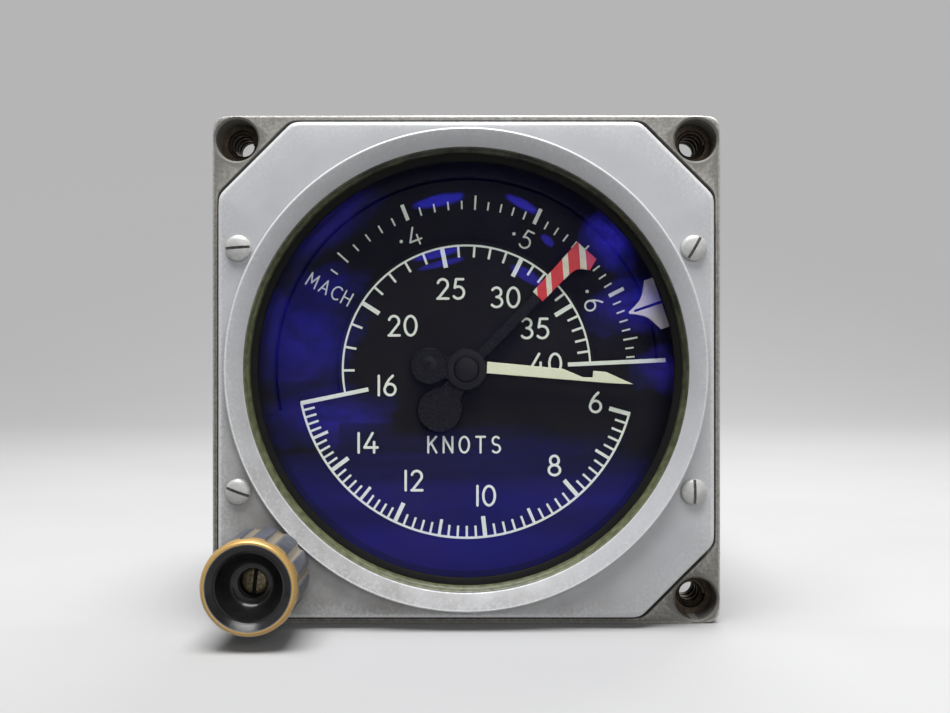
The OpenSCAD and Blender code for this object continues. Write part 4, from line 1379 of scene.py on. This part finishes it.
class Lettering:
    """Plain single-stroke instrument figures and capitals, drawn in a square of height one."""

    GLYPHS: dict[str, tuple[float, list[list[Flat]]]] = {
        "0": (0.6, [arc(0.3, 0.5, 0.3, 0.5, 90, 450)]),
        "1": (0.06, [[(0.03, 0.0), (0.03, 1.0)]]),
        "2": (0.56, [arc(0.27, 0.72, 0.26, 0.28, 162, -28) + [(0.04, 0.0)], [(0.0, 0.0), (0.56, 0.0)]]),
        "3": (0.54, [arc(0.24, 0.76, 0.24, 0.24, 150, -90), arc(0.24, 0.26, 0.29, 0.26, 90, -145)]),
        "4": (0.68, [[(0.42, 1.0), (0.0, 0.26)], [(0.0, 0.26), (0.68, 0.26)], [(0.5, 0.54), (0.5, 0.0)]]),
        "5": (0.55, [[(0.5, 1.0), (0.13, 1.0)], [(0.13, 1.0), (0.06, 0.56)],
                     [(0.06, 0.56)] + arc(0.24, 0.31, 0.3, 0.31, 112, -140)]),
        "6": (0.56, [arc(0.28, 0.29, 0.28, 0.29, 90, 450),
                     [(0.02, 0.38), (0.1, 0.6), (0.24, 0.82), (0.42, 1.0)]]),
        "7": (0.54, [[(0.0, 1.0), (0.54, 1.0)], [(0.54, 1.0), (0.16, 0.0)]]),
        "8": (0.58, [arc(0.29, 0.76, 0.22, 0.24, 90, 450), arc(0.29, 0.26, 0.29, 0.26, 90, 450)]),
        "9": (0.56, [arc(0.28, 0.71, 0.28, 0.29, 90, 450),
                     [(0.54, 0.62), (0.46, 0.4), (0.32, 0.18), (0.14, 0.0)]]),
        "A": (0.62, [[(0.0, 0.0), (0.31, 1.0)], [(0.31, 1.0), (0.62, 0.0)], [(0.11, 0.33), (0.51, 0.33)]]),
        "C": (0.56, [arc(0.38, 0.5, 0.38, 0.5, 52, 308)]),
        "H": (0.56, [[(0.0, 0.0), (0.0, 1.0)], [(0.56, 0.0), (0.56, 1.0)], [(0.0, 0.52), (0.56, 0.52)]]),
        "K": (0.52, [[(0.0, 0.0), (0.0, 1.0)], [(0.5, 1.0), (0.0, 0.42)], [(0.17, 0.62), (0.52, 0.0)]]),
        "M": (0.74, [[(0.0, 0.0), (0.08, 1.0)], [(0.08, 1.0), (0.37, 0.3)], [(0.37, 0.3), (0.66, 1.0)],
                     [(0.66, 1.0), (0.74, 0.0)]]),
        "N": (0.56, [[(0.0, 0.0), (0.0, 1.0)], [(0.0, 1.0), (0.56, 0.0)], [(0.56, 0.0), (0.56, 1.0)]]),
        "O": (0.6, [arc(0.3, 0.5, 0.3, 0.5, 90, 450)]),
        "S": (0.5, [arc(0.25, 0.75, 0.22, 0.25, 40, 250) + arc(0.25, 0.25, 0.25, 0.25, 70, -142)]),
        "T": (0.56, [[(0.0, 1.0), (0.56, 1.0)], [(0.28, 1.0), (0.28, 0.0)]]),
    }

    def write(self, skin: Skin, label: Label, front: float, back: float) -> None:
        """Prints one label.

        Args:
            skin: The piece that takes the strokes.
            label: What is written and where.
            front: Front of the print along Y.
            back: Back of the print along Y.
        """
        glyphs = [self.GLYPHS[letter] for letter in label.text]
        total = sum(width for width, _ in glyphs) + label.gap * (len(glyphs) - 1)
        turn = math.radians(label.tilt)
        right, up = Vector((math.cos(turn), -math.sin(turn))), Vector((math.sin(turn), math.cos(turn)))
        pen = -total / 2
        for width, strokes in glyphs:
            for path in strokes:
                placed = []
                for u, v in path:
                    spot = Vector((label.x, label.z)) + (right * (pen + u) + up * (v - 0.5)) * label.height
                    placed.append((spot.x, spot.y))
                skin.stroke(placed, label.width, front, back)
            pen += width + label.gap


@dataclass
class Dial(Assembly):
    """The fixed dial, its knots scale and figures, the ring round it and the turning Mach disc."""

    front: float = 3.9
    back: float = 4.7
    print_front: float = 3.82
    outer_r: float = 35.2
    step_r: float = 21.3
    hole_r: float = 2.25
    arc_ends: Point = (105.0, 258.4, 447.4)
    lower: Flat = (88.4, 257.4)
    big_r: float = 28.1
    small_r: float = 20.65
    ring: Flat = (31.9, 35.4)
    ring_step: float = 7.6
    ring_back: float = 9.5
    disc_r: float = 31.6
    disc_front: float = 5.4
    disc_print: float = 5.32
    smooth_steps: int = 192
    mach_at_half: float = 24.9
    mach_gain: float = 208.0
    mach_low_gain: float = 198.0
    mach_figure_r: float = 23.8
    knots: tuple[Flat, ...] = (
        (60, 105.4), (80, 138.7), (100, 173.6), (120, 205.2), (140, 233.1), (160, 258.4), (200, 302.5),
        (250, 348.5), (300, 386.5), (350, 418.7), (400, 447.4))
    figures: tuple[Label, ...] = (
        Label("6", 21.35, -5.5), Label("8", 14.55, -15.95), Label("10", 3.2, -20.95),
        Label("12", -8.75, -18.45), Label("14", -16.35, -12.2), Label("16", -13.2, -2.7),
        Label("20", -10.6, 7.2), Label("25", -2.6, 13.3), Label("30", 6.45, 11.9), Label("35", 11.35, 6.75),
        Label("40", 13.15, 0.95),
        Label("KNOTS", -0.4, -12.5, 2.6, 0.0, 0.34, 0.457))
    lettering: Lettering = field(default_factory=Lettering)

    def angle(self, speed: float) -> float:
        """Gives the clock angle of a speed.

        Args:
            speed: The speed in knots.

        Returns:
            The angle in degrees.
        """
        for (low, start), (high, end) in zip(self.knots, self.knots[1:]):
            if speed <= high:
                break
        return start + (end - start) * (speed - low) / (high - low)

    def mach_angle(self, mach: float) -> float:
        """Gives the clock angle of a Mach number with the disc at rest."""
        return self.mach_at_half + self.mach_gain * math.log(mach / 0.5)

    def build(self) -> None:
        """Builds every piece of the dial."""
        self.plate()
        self.marks()
        self.surround()
        self.disc()
        self.mach_marks()

    def plate(self) -> None:
        """Builds the fixed dial: full depth below, cut back to the inner scale above."""
        edge = [(self.outer_r, a) for a in self.spread(*self.lower)]
        edge += [(self.step_r, a) for a in self.spread(self.lower[1], self.lower[0] + 360)]

        def rim(draw_in: float, y: float) -> Loop:
            """Makes the dial's edge, drawn in a little."""
            return at_depth([polar(r - draw_in, a) for r, a in edge], y)

        def hole(y: float) -> Loop:
            """Makes the edge of the hole for the spindles."""
            return at_depth([polar(self.hole_r, a) for _, a in edge], y)

        front, back = self.front, self.back
        loops = [hole(front), rim(0.12, front), rim(0.0, front + 0.12), rim(0.0, back), hole(back)]
        skin = Skin()
        skin.loft(loops, None, Ends.JOINED)
        self.piece(skin, "dial_plate", "main_dial", "dial_black")

    @staticmethod
    def spread(start: float, end: float) -> list[float]:
        """Gives clock angles about a degree apart, both ends included."""
        steps = int(end - start)
        return [start + (end - start) * i / steps for i in range(steps + 1)]

    def ticks(self, skin: Skin, tree: TickTree, bar: Point, depth: Flat, row: dict[str, object]) -> None:
        """Prints one row of ticks.

        Args:
            skin: The piece that takes them.
            tree: The scale's tick tree.
            bar: Inner radius, outer radius and width of a tick.
            depth: Front and back of the print along Y.
            row: The tree's other inputs.
        """
        inner, outer, width = bar
        front, back = depth
        sizes = {"Length": (outer - inner) * MM, "Width": width * MM, "Height": (back - front) * MM}
        sizes["Middle"] = ((inner + outer) / 2 * MM, (front + back) / 2 * MM, 0.0)
        skin.take(tree.run(sizes | row | {"Finish": self.finishes["print_pale"]}))

    def marks(self) -> None:
        """Prints the arcs, ticks, figures and the word on the fixed dial."""
        tree = TickTree("knots_ticks", ScaleRule.EVEN)
        depth = (self.print_front, self.front + 0.02)
        front, back = depth
        big, small = self.big_r, self.small_r
        begins, meets, ends = self.arc_ends
        rows = []
        short = (big - 2.15, big - 0.1, 0.37)
        for low in (60, 80, 100, 120, 140):
            rows += [(low + 2, low + 8, 2, short), (low + 12, low + 18, 2, short)]
            rows.append((low + 10, low + 10, 10, (big - 2.9, big - 0.1, 0.5)))
            rows.append((low, low, 20, (big - 3.6, big - 0.1, 0.7)))
        for low, high in ((160, 200), (200, 250), (250, 300), (300, 350), (350, 400)):
            rows.append((low + 10, high - 10, 10, (small - 2.1, small - 0.1, 0.38)))
        for value in (200, 250, 300, 350):
            rows.append((value, value, 10, (small - 3.5, small - 0.1, 0.72)))
        skin = Skin()
        for first, last, step, bar in rows:
            begin, gap = self.angle(first), self.angle(first + step) - self.angle(first)
            row = {"Count": (last - first) // step + 1, "First": 0.0, "Step": math.radians(gap), "Gain": 1.0}
            self.ticks(skin, tree, bar, depth, row | {"Turn": math.radians(begin - 90)})
        for radius, width, start, end in ((big, 0.36, begins, meets), (small, 0.32, meets, ends)):
            shrink = 1 - width / 2 / radius
            line = [polar(radius, a) for a in self.spread(start, end)]
            skin.stroke([(x * shrink, z * shrink) for x, z in line], width, front, back)
        for angle, inner, outer in ((meets, 16.6, big - 0.1), (ends, 16.8, 33.0)):
            (x, z), half = clock(angle), 0.34
            corners = [(inner, half), (outer, half), (outer, -half), (inner, -half)]
            skin.plate([(r * x - w * z, r * z + w * x) for r, w in corners], front - 0.02, back, 0.02)
        for label in self.figures:
            self.lettering.write(skin, label, front, back)
        self.piece(skin, "dial_marks", "dial_scale", "print_pale")

    def surround(self) -> None:
        """Builds the dark ring that carries the dial."""
        inner, outer = self.ring
        front, step, back = self.back, self.ring_step, self.ring_back
        skin = Skin()
        skin.turn([(inner, front + 0.25), (inner + 0.25, front), (outer, front), (outer, step),
                   (outer + 0.5, step), (outer + 0.5, back), (inner, back)],
                  ends=Ends.JOINED, steps=self.smooth_steps)
        self.piece(skin, "dial_surround", "dial_ring", "inner_black")

    def disc(self) -> None:
        """Builds the turning Mach disc."""
        front, r = self.disc_front, self.disc_r
        skin = Skin()
        skin.turn([(2.6, front), (r - 0.1, front), (r, front + 0.1), (r, front + 0.6), (4.6, front + 0.6),
                   (4.6, front + 1.8), (2.6, front + 1.8)], ends=Ends.JOINED, steps=self.smooth_steps)
        self.piece(skin, "mach_disc_plate", "mach_disc", "dial_black", "mach_disc")

    def mach_marks(self) -> None:
        """Prints the Mach ticks and figures on the turning disc."""
        tree = TickTree("mach_ticks", ScaleRule.RATIO)
        depth = (self.disc_print, self.disc_front + 0.02)
        front, back = depth
        fine, mid, bold = (26.7, 28.1, 0.27), (26.6, 29.0, 0.3), (26.7, 29.45, 0.62)
        low, high = self.mach_low_gain, self.mach_gain
        starts = {low: self.mach_angle(0.4) - low * math.log(0.4)}
        starts[high] = self.mach_at_half - high * math.log(0.5)
        rows = [(low, 34, 1, fine), (low, 35, 1, mid), (low, 36, 4, fine)]
        for value in range(40, 90, 5):
            rows += [(high, value, 1, mid if value % 10 else bold), (high, value + 1, 4, fine)]
        rows.append((high, 90, 1, bold))
        skin = Skin()
        for gain, first, count, bar in rows:
            row = {"Count": count, "First": first / 100, "Step": 1 / 100, "Gain": math.radians(gain)}
            self.ticks(skin, tree, bar, depth, row | {"Turn": math.radians(starts[gain] - 90)})
        for tenth in range(4, 10):
            angle = self.mach_angle(tenth / 10)
            (x, z), along = polar(self.mach_figure_r, angle), clock(angle - 90)
            self.lettering.write(skin, Label(str(tenth), x, z, 2.95, angle, 0.3), front, back)
            dot = (x + along[0] * 2.35, z + along[1] * 2.35)
            skin.stroke([dot, (dot[0] + 0.02, dot[1])], 0.55, front, back)
        self.lettering.write(skin, Label("MACH", -22.9, 13.35, 2.2, 28.0, 0.25, 0.36), front, back)
        self.piece(skin, "mach_marks", "mach_scale", "print_pale", "mach_disc")


@dataclass
class Pointers(Assembly):
    """The airspeed pointer, the striped limit pointer and the speed bug."""

    pointer_angle: float = 95.1
    limit_angle: float = 44.6
    tail_angle: float = 213.2
    bug_angle: float = 70.9
    pointer: Flat = (1.3, 1.8)
    limit: Flat = (2.5, 3.0)
    bug: Flat = (2.3, 2.9)
    bug_edge: float = 33.9
    pointer_shape: tuple[Flat, ...] = (
        (3.3, -0.35), (23.0, -0.2), (27.4, 0.0), (22.8, 1.6), (20.7, 1.6), (20.7, 0.5), (19.1, 0.4),
        (15.7, 1.5), (3.3, 1.55))
    head_shape: tuple[Flat, ...] = (
        (16.75, 1.2), (16.75, -1.1), (20.6, -1.08), (23.2, -1.12), (24.3, -1.35), (25.1, -1.95),
        (25.9, -3.05), (27.95, -2.5), (27.75, 1.73))
    blade_shape: tuple[Flat, ...] = (
        (28.3, 0.16), (29.4, 0.65), (30.5, 1.32), (31.0, 1.8), (31.4, 2.35), (32.1, 3.6), (32.45, 4.25))

    def placed(self, shape: Sequence[Flat], angle: float) -> list[Flat]:
        """Turns an outline, drawn outwards along one axis, to a clock angle.

        Args:
            shape: Points as (outwards, to the left of that).
            angle: The clock angle.

        Returns:
            The points as (x, z).
        """
        out, left = clock(angle), clock(angle - 90)
        return [(u * out[0] + v * left[0], u * out[1] + v * left[1]) for u, v in shape]

    @staticmethod
    def lobes(reach: Flat, rounds: Sequence[Flat], neck: float, count: int = 40) -> list[Flat]:
        """Draws round lobes run together along one axis.

        Args:
            reach: Where the shape starts and ends.
            rounds: Place and radius of each lobe.
            neck: Half the width between the lobes.
            count: Points along each side.

        Returns:
            The outline.
        """
        low, high = reach
        middle, span = (low + high) / 2, (high - low) / 2
        side = []
        for i in range(count + 1):
            u = middle - span * math.cos(math.pi * i / count)
            wide = sum(max(0.0, r * r - (u - c) ** 2) ** 3 for c, r in rounds)
            inside = min(c for c, _ in rounds) <= u <= max(c for c, _ in rounds)
            side.append((u, max(0.02, (wide + (neck**6 if inside else 0.0)) ** (1 / 6))))
        return side + [(u, -v) for u, v in reversed(side)]

    def build(self) -> None:
        """Builds every pointer."""
        self.airspeed()
        self.limit_pointer()
        self.speed_bug()

    def airspeed(self) -> None:
        """Builds the cream lance and its black hub and tail."""
        front, back = self.pointer
        skin = Skin()
        skin.plate(self.placed(self.pointer_shape, self.pointer_angle), front, back)
        self.piece(skin, "airspeed_lance", "airspeed_pointer", "pointer_cream", "airspeed_pointer")
        skin = Skin()
        tail = self.lobes((-9.2, 3.4), ((-6.2, 3.0), (0.0, 3.4)), 1.7)
        skin.plate(self.placed(tail, self.pointer_angle), front, back, 0.12)
        skin.turn([(0, front - 0.6), (1.7, front - 0.6, 0.3), (1.95, front - 0.5, 1.0),
                   (2.05, front - 0.3, 0.5), (2.1, front), (3.1, front - 0.08, 0.4), (3.35, front, 1.0),
                   (3.4, front + 0.15), (3.4, back + 0.2), (0, back + 0.2)], steps=96)
        pip = self.placed([(-6.1, 0.35)], self.pointer_angle)[0]
        skin.turn([(0, front - 0.16, 1.0), (0.45, front - 0.14, 0.8), (0.9, front - 0.05, 0.2),
                   (1.3, front + 0.02), (0, front + 0.2)], pip, steps=40)
        body, looks = "airspeed_pointer", ["hub_black"]
        self.piece(skin, "pointer_hub_and_tail", "pointer_hub", "dial_black", body, looks)

    def limit_pointer(self) -> None:
        """Builds the striped head, its black arm and its counterweight."""
        front, back = self.limit
        skin = Skin()
        skin.plate(self.placed(self.head_shape, self.limit_angle), front, back, 0.05)
        self.piece(skin, "limit_striped_head", "limit_head", "limit_red", "limit_pointer")
        skin = Skin()
        arm = [(0.0, -0.9), (16.75, -0.9), (16.75, 0.9), (0.0, 0.9)]
        skin.plate(self.placed(arm, self.limit_angle), front, back, 0.1)
        weight = self.lobes((-3.2, 11.7), ((8.0, 3.7), (0.0, 3.2)), 1.9)
        skin.plate(self.placed(weight, self.tail_angle), front, back, 0.14)
        skin.turn([(1.6, front - 0.2), (3.0, front - 0.2, 0.5), (3.2, front), (3.2, back + 0.2),
                   (1.6, back + 0.2)], ends=Ends.JOINED, steps=96)
        self.piece(skin, "limit_arm_and_weight", "limit_arm", "dial_black", "limit_pointer", ["hub_black"])

    def speed_bug(self) -> None:
        """Builds the white bug with its sighting slot and the dark tab that carries it."""
        front, back = self.bug
        edge = self.bug_edge
        side = list(self.blade_shape) + [(edge, 4.25)]
        slot = [(edge, 0.25), (29.3, 0.2), (29.1, 0.0), (29.3, -0.2), (edge, -0.25)]
        blade = side + slot + [(u, -v) for u, v in reversed(side)]
        skin = Skin()
        skin.plate(self.placed(blade, self.bug_angle), front, back, 0.06)
        tab = [(edge - 0.02, 4.2), (36.6, 3.6), (36.6, -3.6), (edge - 0.02, -4.2)]
        skin.plate(self.placed(tab, self.bug_angle), front + 0.05, back, 0.04, 1)
        looks = ["bug_white", "inner_black"]
        self.piece(skin, "speed_bug_blade", "speed_bug", "bug_white", "speed_bug", looks)


@dataclass(frozen=True)
class Card:
    """A soft-edged studio card that only the glass and the metal mirror."""

    name: str
    x: float
    z: float
    wide: float
    tall: float
    tilt: float
    strength: float
    core: float = 0.25


@dataclass(frozen=True)
class Lamp:
    """A square soft lamp that is aimed at the dial."""

    name: str
    at: Point
    size: float
    power: float


@dataclass
class Studio:
    """Floor, backdrop, lamps, mirror cards and camera."""

    floor_z: float = -41.3
    camera_at: Point = (1.4, -194.4, 2.1)
    focal_px: float = 1197.0
    sensor_mm: float = 36.0
    card_y: float = -330.0
    bounce: float = 0.22
    haze: float = 0.44
    near: float = 220.0
    wall: float = 900.0
    wall_front: float = 2600.0
    bend: float = 350.0
    sky: Colour = (0.94, 0.96, 1.0, 1.0)
    sky_levels: Flat = (0.08, 0.82)
    lights: tuple[Lamp, ...] = (
        Lamp("key_lamp", (-40.0, -270.0, 900.0), 700.0, 17.0),
        Lamp("fill_lamp", (200.0, -820.0, 220.0), 440.0, 2.6),
        Lamp("back_lamp", (160.0, 560.0, 480.0), 500.0, 3.5))
    cards: tuple[Card, ...] = (
        Card("card_left", -74.0, 8.0, 30.0, 34.0, 20.0, 0.9),
        Card("card_left_low", -60.0, -26.0, 34.0, 17.0, 0.0, 1.0),
        Card("card_mach", -60.0, 32.0, 20.0, 12.0, 0.0, 0.6),
        Card("card_bug", 69.6, 24.0, 22.0, 15.0, -14.0, 1.2),
        Card("card_upper_left", -63.0, 59.0, 34.0, 12.0, -42.0, 0.6),
        Card("card_upper_right", 60.0, 53.0, 14.0, 17.0, 0.0, 1.6),
        Card("card_right", 82.0, -4.0, 14.0, 12.0, 0.0, 0.9),
        Card("card_low", 12.0, -38.0, 70.0, 11.0, 0.0, 0.3),
        Card("streak_top", -14.0, 70.0, 13.0, 2.8, -12.0, 1.7, 0.7),
        Card("streak_mid", -15.0, 46.8, 12.0, 2.0, -14.0, 1.6, 0.7),
        Card("streak_mid_low", -13.0, 42.6, 12.0, 1.6, -14.0, 1.2, 0.7),
        Card("streak_right", 22.0, 68.5, 9.0, 2.2, 28.0, 1.7, 0.7),
        Card("streak_right_end", 33.0, 52.6, 4.0, 2.0, 42.0, 1.3, 0.7),
        Card("streak_right_low", 24.0, 37.4, 9.0, 3.0, 30.0, 1.2, 0.7))

    def build(self) -> None:
        """Builds the whole studio."""
        self.sweep()
        self.lamps()
        self.world()
        self.mirror_cards()
        self.camera()

    def sweep(self) -> None:
        """Builds the pale floor that curves up into a backdrop all round."""
        lines = [(0.0, 0.0), (0.3, 0.0)]
        for turn in (math.radians(5.0 * i) for i in range(19)):
            lines.append((0.6 + 0.4 * math.sin(turn), 1 - math.cos(turn)))
        lines.append((1.0, 6.0))
        skin = Skin()
        skin.loft([self.floor_line(out, rise) for out, rise in lines], None, Ends.OPEN)
        mat, bench, sockets, place = new_paint("studio_paper")
        paper = bench.ramp(bench.noise(place, 90.0), [(0.3, grey(0.42)), (0.7, grey(0.44))])
        seen = self.seen(bench)
        far = bench.add("ShaderNodeVectorMath", {0: place}, operation="LENGTH").outputs["Value"]
        far = bench.sum("MULTIPLY", bench.span(far, self.near * MM, self.wall * MM, 0.0, 1.0), seen)
        near = bench.blend(seen, grey(self.bounce), paper)
        bench.put(sockets["Base Color"], bench.blend(far, near, grey(0.0)))
        sockets["Roughness"].default_value = 0.9
        sockets["Emission Color"].default_value = grey(self.haze)
        bench.put(sockets["Emission Strength"], far)
        obj = skin.object("studio_sweep", [mat])
        obj.data.polygons.foreach_set("use_smooth", [True] * len(obj.data.polygons))

    def floor_line(self, out: float, rise: float) -> Loop:
        """Gives one line round the floor.

        Args:
            out: Share of the way from the middle to the wall.
            rise: Height above the floor, as a share of the bend's.

        Returns:
            The line's points.
        """
        points = []
        for turn in (math.radians(5.0 * i) for i in range(72)):
            reach = out * (self.wall + (self.wall_front - self.wall) * (1 - math.sin(turn)) / 2)
            points.append((reach * math.cos(turn), reach * math.sin(turn), self.floor_z + rise * self.bend))
        return points

    @staticmethod
    def seen(bench: Bench) -> bpy.types.NodeSocket:
        """Tells the rays that are seen, mirrored or look through glass from the others.

        Args:
            bench: The nodes of the material or the world.

        Returns:
            1 for such a ray, and else 0.
        """
        path = bench.add("ShaderNodeLightPath").outputs
        seen = bench.sum("ADD", path["Is Camera Ray"], path["Is Glossy Ray"])
        return bench.sum("ADD", seen, path["Is Transmission Ray"], True)

    def lamps(self) -> None:
        """Hangs a broad soft lamp high in front, a weaker one by the camera and one behind."""
        for light in self.lights:
            lamp = bpy.data.lights.new(light.name, "AREA")
            lamp.shape = "SQUARE"
            lamp.size = light.size * MM
            lamp.energy = light.power
            obj = bpy.data.objects.new(light.name, lamp)
            obj.location = [c * MM for c in light.at]
            obj.rotation_euler = (-Vector(light.at)).to_track_quat("-Z", "Y").to_euler()
            obj.visible_camera = False
            bpy.context.scene.collection.objects.link(obj)

    def world(self) -> None:
        """Sets a soft even sky that is pale where it is seen or mirrored."""
        world = bpy.data.worlds.new("studio_sky")
        bpy.context.scene.world = world
        world.use_nodes = True
        bench = Bench(world.node_tree)
        back = world.node_tree.nodes["Background"]
        back.inputs["Color"].default_value = self.sky
        bench.put(back.inputs["Strength"], bench.span(self.seen(bench), 0.0, 1.0, *self.sky_levels))

    def mirror_cards(self) -> None:
        """Sets a dark screen behind the camera with soft bright cards before it."""
        screen = self.flat_card("dark_screen", (0.0, self.card_y - 20, 40.0), (420.0, 420.0), 0.0)
        screen.data.materials.append(self.card_finish("dark_screen", 0.03, 1.0))
        rugs = (("floor_cover", -230.0, 0.3, (420.0, 229.0), 0.03, 1.0),
                ("floor_glow", -105.0, 0.6, (240.0, 285.0), 0.68, 0.25))
        for name, y, rise, size, strength, core in rugs:
            rug = self.flat_card(name, (0.0, y, self.floor_z + rise), size, 0.0)
            rug.rotation_euler = (math.pi / 2, 0.0, 0.0)
            rug.data.materials.append(self.card_finish(name, strength, core))
        for card in self.cards:
            obj = self.flat_card(card.name, (card.x, self.card_y, card.z), (card.wide, card.tall), card.tilt)
            obj.data.materials.append(self.card_finish(card.name, card.strength, card.core))

    def flat_card(self, name: str, at: Point, size: Flat, tilt: float) -> bpy.types.Object:
        """Hangs one card where only mirrored rays see it.

        Args:
            name: The card's name.
            at: Its middle.
            size: Half its width and half its height.
            tilt: Its turn in its own plane, in degrees.

        Returns:
            The card.
        """
        mesh = bpy.data.meshes.new(name)
        mesh.from_pydata([(-1, 0, -1), (1, 0, -1), (1, 0, 1), (-1, 0, 1)], [], [(0, 1, 2, 3)])
        obj = bpy.data.objects.new(name, mesh)
        obj.location = [c * MM for c in at]
        obj.scale = (size[0] * MM, 1.0, size[1] * MM)
        obj.rotation_euler = (0.0, math.radians(tilt), 0.0)
        for flag in ("visible_camera", "visible_diffuse", "visible_shadow", "visible_transmission"):
            setattr(obj, flag, False)
        bpy.context.scene.collection.objects.link(obj)
        return obj

    @staticmethod
    def card_finish(name: str, strength: float, core: float) -> bpy.types.Material:
        """Makes a card's glow, mottled and fading towards its rim where its core is small.

        Args:
            name: The material's name.
            strength: How bright it is.
            core: The share of its half width that is full, 1 for a card without a soft rim.

        Returns:
            The material.
        """
        mat, bench, _, place = new_paint(name)
        tree = mat.node_tree
        tree.nodes.remove(tree.nodes["Principled BSDF"])
        emission = bench.add("ShaderNodeEmission", {"Strength": strength})
        glow = emission.outputs[0]
        surface = tree.nodes["Material Output"].inputs["Surface"]
        if core >= 1.0:
            bench.put(surface, glow)
            return mat
        mottle = {"Vector": place, "Detail": 3.0}
        wobble = bench.add("ShaderNodeTexNoise", mottle | {"Scale": 1.7}).outputs["Fac"]
        far = bench.add("ShaderNodeVectorMath", {0: place}, operation="LENGTH").outputs["Value"]
        ripple = (1 - core) / 3
        rim = bench.sum("ADD", far, bench.span(wobble, 0.3, 0.7, -ripple, ripple))
        share = bench.span(rim, core, 0.95, 1.0, 0.0)
        cloud = bench.add("ShaderNodeTexNoise", mottle | {"Scale": 3.1}).outputs["Fac"]
        dim = 1 - 1.6 * ripple
        bench.put(emission.inputs["Strength"], bench.span(cloud, 0.38, 0.6, strength * dim, strength * 1.15))
        clear = bench.add("ShaderNodeBsdfTransparent").outputs[0]
        bench.put(surface, bench.add("ShaderNodeMixShader", {0: share, 1: clear, 2: glow}).outputs[0])
        return mat

    def camera(self) -> None:
        """Sets the camera square to the dial, at the photograph's distance."""
        data = bpy.data.cameras.new("camera")
        data.sensor_width = self.sensor_mm
        data.lens = self.focal_px / IMAGE_WIDTH * self.sensor_mm
        data.clip_start = 0.005
        obj = bpy.data.objects.new("camera", data)
        obj.location = [c * MM for c in self.camera_at]
        obj.rotation_euler = (math.pi / 2, 0.0, 0.0)
        bpy.context.scene.collection.objects.link(obj)
        bpy.context.scene.camera = obj


def dress_nodes(frame: dict, finishes: Finishes) -> None:
    """Gives every CAD node that is still shown its finish.

    Args:
        frame: The loaded frame.
        finishes: The instrument's finishes.
    """
    slots = {part["node"]: part["material_slot"] for part in frame["record"]["subparts"]}
    for name, obj in frame["nodes"].items():
        obj.data.materials.clear()
        obj.data.materials.append(finishes[slots[name]])


def main() -> None:
    """Builds the instrument round the frame."""
    logging.basicConfig(level=logging.INFO, format="%(name)s: %(message)s")
    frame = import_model()
    bpy.context.scene.view_settings.view_transform = "Standard"
    finishes = Finishes()
    dress_nodes(frame, finishes)
    bezel = Bezel(finishes)
    Case(finishes).build(bezel)
    bezel.build()
    Knob(finishes).build()
    Dial(finishes).build()
    Pointers(finishes).build()
    Studio().build()


if __name__ == "__main__":
    main()
